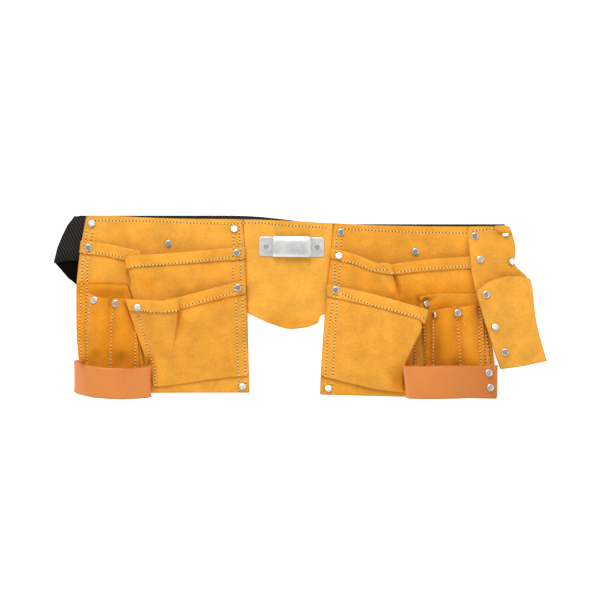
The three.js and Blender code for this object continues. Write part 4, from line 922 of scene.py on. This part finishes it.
# %% Turned corner
FLAP_TOP = [(495, 225.6), (499, 225.4), (503, 225.2), (507, 225.3), (509.5, 226.6)]
FLAP_FOOT = [(497, 231.2), (500, 232.3), (504.5, 233.2), (509, 233.4), (512.4, 232.4)]
FLAP_LIFT = [0.9, 1.5, 2.6, 3.4, 3.3, 2.7]
FLAP_STEPS = [0, 0.2, 0.45, 0.7, 0.88, 1]
FLAP_SINK = 0.2
backing_tree = surfaces_now()["holder_backing"]
flap_points = []
for top_mark, foot_mark in zip(FLAP_TOP, FLAP_FOOT):
    for lift_share, lift in zip(FLAP_STEPS, FLAP_LIFT):
        px = top_mark[0] + (foot_mark[0] - top_mark[0]) * lift_share
        py = top_mark[1] + (foot_mark[1] - top_mark[1]) * lift_share
        below = [seen_at([backing_tree], px - aside, py + further)
                 for further in range(7) for aside in range(5)]
        level_here = next(found[0].z for found in below if found)
        flap_points.append(Vector((*spot(px, py).xy, level_here + (lift - FLAP_SINK) * MM)))
row_size = len(FLAP_STEPS)
corners = [row_size * i + k for i in range(len(FLAP_TOP) - 1) for k in range(row_size - 1)]
flap = mesh_object("holder_turned_corner", flap_points,
                   [(first, first + 1, first + row_size + 1, first + row_size) for first in corners])
flap.data.materials.append(suede)
thicken(flap, 1.3 * MM, 0.3 * MM, 1)
rounding = flap.modifiers.new("rounding", "SUBSURF")
rounding.levels = rounding.render_levels = 2
take_modifiers(flap)
paint_tone_and_shade(flap, 0.25, [((504, 233), (8, 2), 0.5)])
print("turned corner:", len(flap.data.polygons), "faces")

# %% [markdown]
# ## Tape clip
# The clip is one strip of galvanised steel, bent up into a bridge between two tabs with round corners. The
# strip is a grid whose rows follow the bends, with the bridge crowned a little across its width. Solidify
# gives it the thickness of the sheet, and a small bevel breaks its edges.

# %% Galvanised steel, the clip and its two fixings
galvanised, tree, shader, where = new_material("galvanised_steel", Metallic=0.95)
spangle = add_node(tree, "ShaderNodeTexVoronoi", {"Vector": where, "Scale": 210.0})
smear = add_node(tree, "ShaderNodeTexNoise", {"Vector": where, "Scale": 90.0, "Detail": 6.0})
cloud = add_node(tree, "ShaderNodeMix", {0: 0.6, 2: spangle.outputs["Distance"], 3: smear})
zinc = mix_tones(tree, cloud, (0.60, 0.61, 0.62, 1), (0.90, 0.89, 0.87, 1))
tree.links.new(zinc, shader.inputs["Base Color"])
polish = add_node(tree, "ShaderNodeMapRange", {0: smear, 3: 0.30, 4: 0.5})
tree.links.new(polish.outputs[0], shader.inputs["Roughness"])
add_bump(tree, shader, smear.outputs[0], 0.08 * MM, 0.3)

CLIP_LENGTH = 71.3 * MM
CLIP_WIDTH = 22.2 * MM
CLIP_STEEL = 1.2 * MM
CLIP_TAB = 15 * MM
CLIP_RISE = 7 * MM
CLIP_CORNER = 3 * MM
CLIP_TILT = math.radians(-0.8)
CLIP_CROWN = 1.1 * MM
CLIP_COLUMNS = 13


def bend(distance):
    """The clip's height at a distance from its middle: the bridge, a rounded step, and the tab."""
    step_at = CLIP_LENGTH / 2 - CLIP_TAB
    share = min(1, max(0, (step_at + 0.5 * MM - distance) / (1.6 * MM)))
    bridge = CLIP_RISE * (1 + 0.05 * (1 - (distance / step_at) ** 2))
    return bridge * share * share * (3 - 2 * share)


def clip_points():
    half = CLIP_LENGTH / 2
    inner = half - CLIP_TAB
    marks = [0, 0.25 * inner, 0.5 * inner, 0.75 * inner, 0.92 * inner]
    marks += [inner + offset * MM for offset in (-1.2, -0.8, -0.5, -0.2, 0.1, 0.4, 0.7, 1.2)]
    marks += [half - offset * MM for offset in (10, 7, 4, 3, 2, 1.2, 0.5, 0.12, 0)]
    marks = [-mark for mark in reversed(marks[1:])] + marks
    rows = []
    for x in marks:
        short = max(0, abs(x) - (half - CLIP_CORNER))
        reach_y = CLIP_WIDTH / 2 - CLIP_CORNER + math.sqrt(max(0, CLIP_CORNER ** 2 - short ** 2))
        height_here = bend(abs(x))
        on_bridge = height_here / CLIP_RISE
        row = []
        for k in range(CLIP_COLUMNS):
            across = 2 * k / (CLIP_COLUMNS - 1) - 1
            tab_in = 0.35 * MM * (1 - on_bridge)
            row.append((x, across * (reach_y - tab_in), height_here - CLIP_CROWN * on_bridge * across ** 4))
        rows.append(row)
    return rows


rows = clip_points()
width = len(rows[0])
faces = [(i * width + k, (i + 1) * width + k, (i + 1) * width + k + 1, i * width + k + 1)
         for i in range(len(rows) - 1) for k in range(width - 1)]
clip = mesh_object("tape_clip_strip", [point for row in rows for point in row], faces)
clip.data.materials.append(galvanised)
thicken(clip, CLIP_STEEL, 0.28 * MM, 2)
take_modifiers(clip)
clip_low, clip_high = (Vector(corner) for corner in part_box("tape_clip"))
clip_place = (clip_low + clip_high) / 2
clip_place.z = clip_low.z + CLIP_STEEL / 2
clip.data.transform(Matrix.Translation(clip_place) @ Matrix.Rotation(CLIP_TILT, 4, "Z"))


def turned(name, profile, segments, place):
    """A closed turned shape from a profile of radius and height, from its middle top to its middle foot."""
    points, faces = [], []
    for radius, level_at in profile[1:-1]:
        for k in range(segments):
            angle = 2 * math.pi * k / segments
            points.append((radius * math.cos(angle), radius * math.sin(angle), level_at))
    top, foot = len(points), len(points) + 1
    points += [(0, 0, profile[0][1]), (0, 0, profile[-1][1])]
    rings = len(profile) - 2
    for k in range(segments):
        after = (k + 1) % segments
        faces.append((top, k, after))
        faces += [(i * segments + k, (i + 1) * segments + k, (i + 1) * segments + after, i * segments + after)
                  for i in range(rings - 1)]
        faces.append((foot, (rings - 1) * segments + after, (rings - 1) * segments + k))
    piece = mesh_object(name, points, faces)
    piece.data.transform(Matrix.Translation(place))
    for face in piece.data.polygons:
        face.use_smooth = True
    return piece


dull_steel = grained("dull_steel", [(0.52, 0.48, 0.42), (0.26, 0.22, 0.18)], (500.0, 1500.0), 0.3, 3.0,
                     Metallic=0.9, Roughness=0.4)
EYELET = [  # radius and level in millimetres, from the middle of the top round to the foot
    (0, 0.25), (0.8, 0.25), (1.05, 0.45), (1.35, 0.95), (1.75, 1.1), (2.2, 0.95), (2.55, 0.5), (2.6, 0.05),
    (0, 0.05),
]
EYELET_SEGMENTS = 24
EYELET_SINK = 0.3 * MM
fixings = {}
for side in ["left", "right"]:
    node = f"tape_clip_fixing_{side}"
    low, high = (Vector(corner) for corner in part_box(node))
    place = (low + high) / 2
    place.z = low.z - EYELET_SINK
    profile = [(radius * MM, level_at * MM) for radius, level_at in EYELET]
    fixings[node] = turned(f"{node}_eyelet", profile, EYELET_SEGMENTS, place)
    fixings[node].data.materials.append(dull_steel)
print("clip faces:", len(clip.data.polygons))

# %% The buckle on the hidden stretch of the belt
buckle_plastic = grained("buckle_plastic", [(0.03, 0.03, 0.03), (0.015, 0.015, 0.015)], (60.0, 1300.0), 0.5,
                         bump=(0.05, 0.5), Roughness=0.45)
nodes["belt_buckle"].data.materials.clear()
nodes["belt_buckle"].data.materials.append(buckle_plastic)

# %% [markdown]
# ## Everything rides on the one body
# The apron has no joints, so each finished piece rides on the root body and stands for its measured node.

# %% Hand the pieces to the frame
for node, piece in leather.items():
    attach(piece, "root")
    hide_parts(node)
for node, piece in loops.items():
    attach(piece, "root")
    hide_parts(node)
for node, piece in {"tape_clip": clip, **fixings}.items():
    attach(piece, "root")
    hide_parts(node)
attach(flap, "root")
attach(caps, "root")
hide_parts(*rivet_names)
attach(stitches, "root")
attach(belt, "root")
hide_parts("waist_belt")
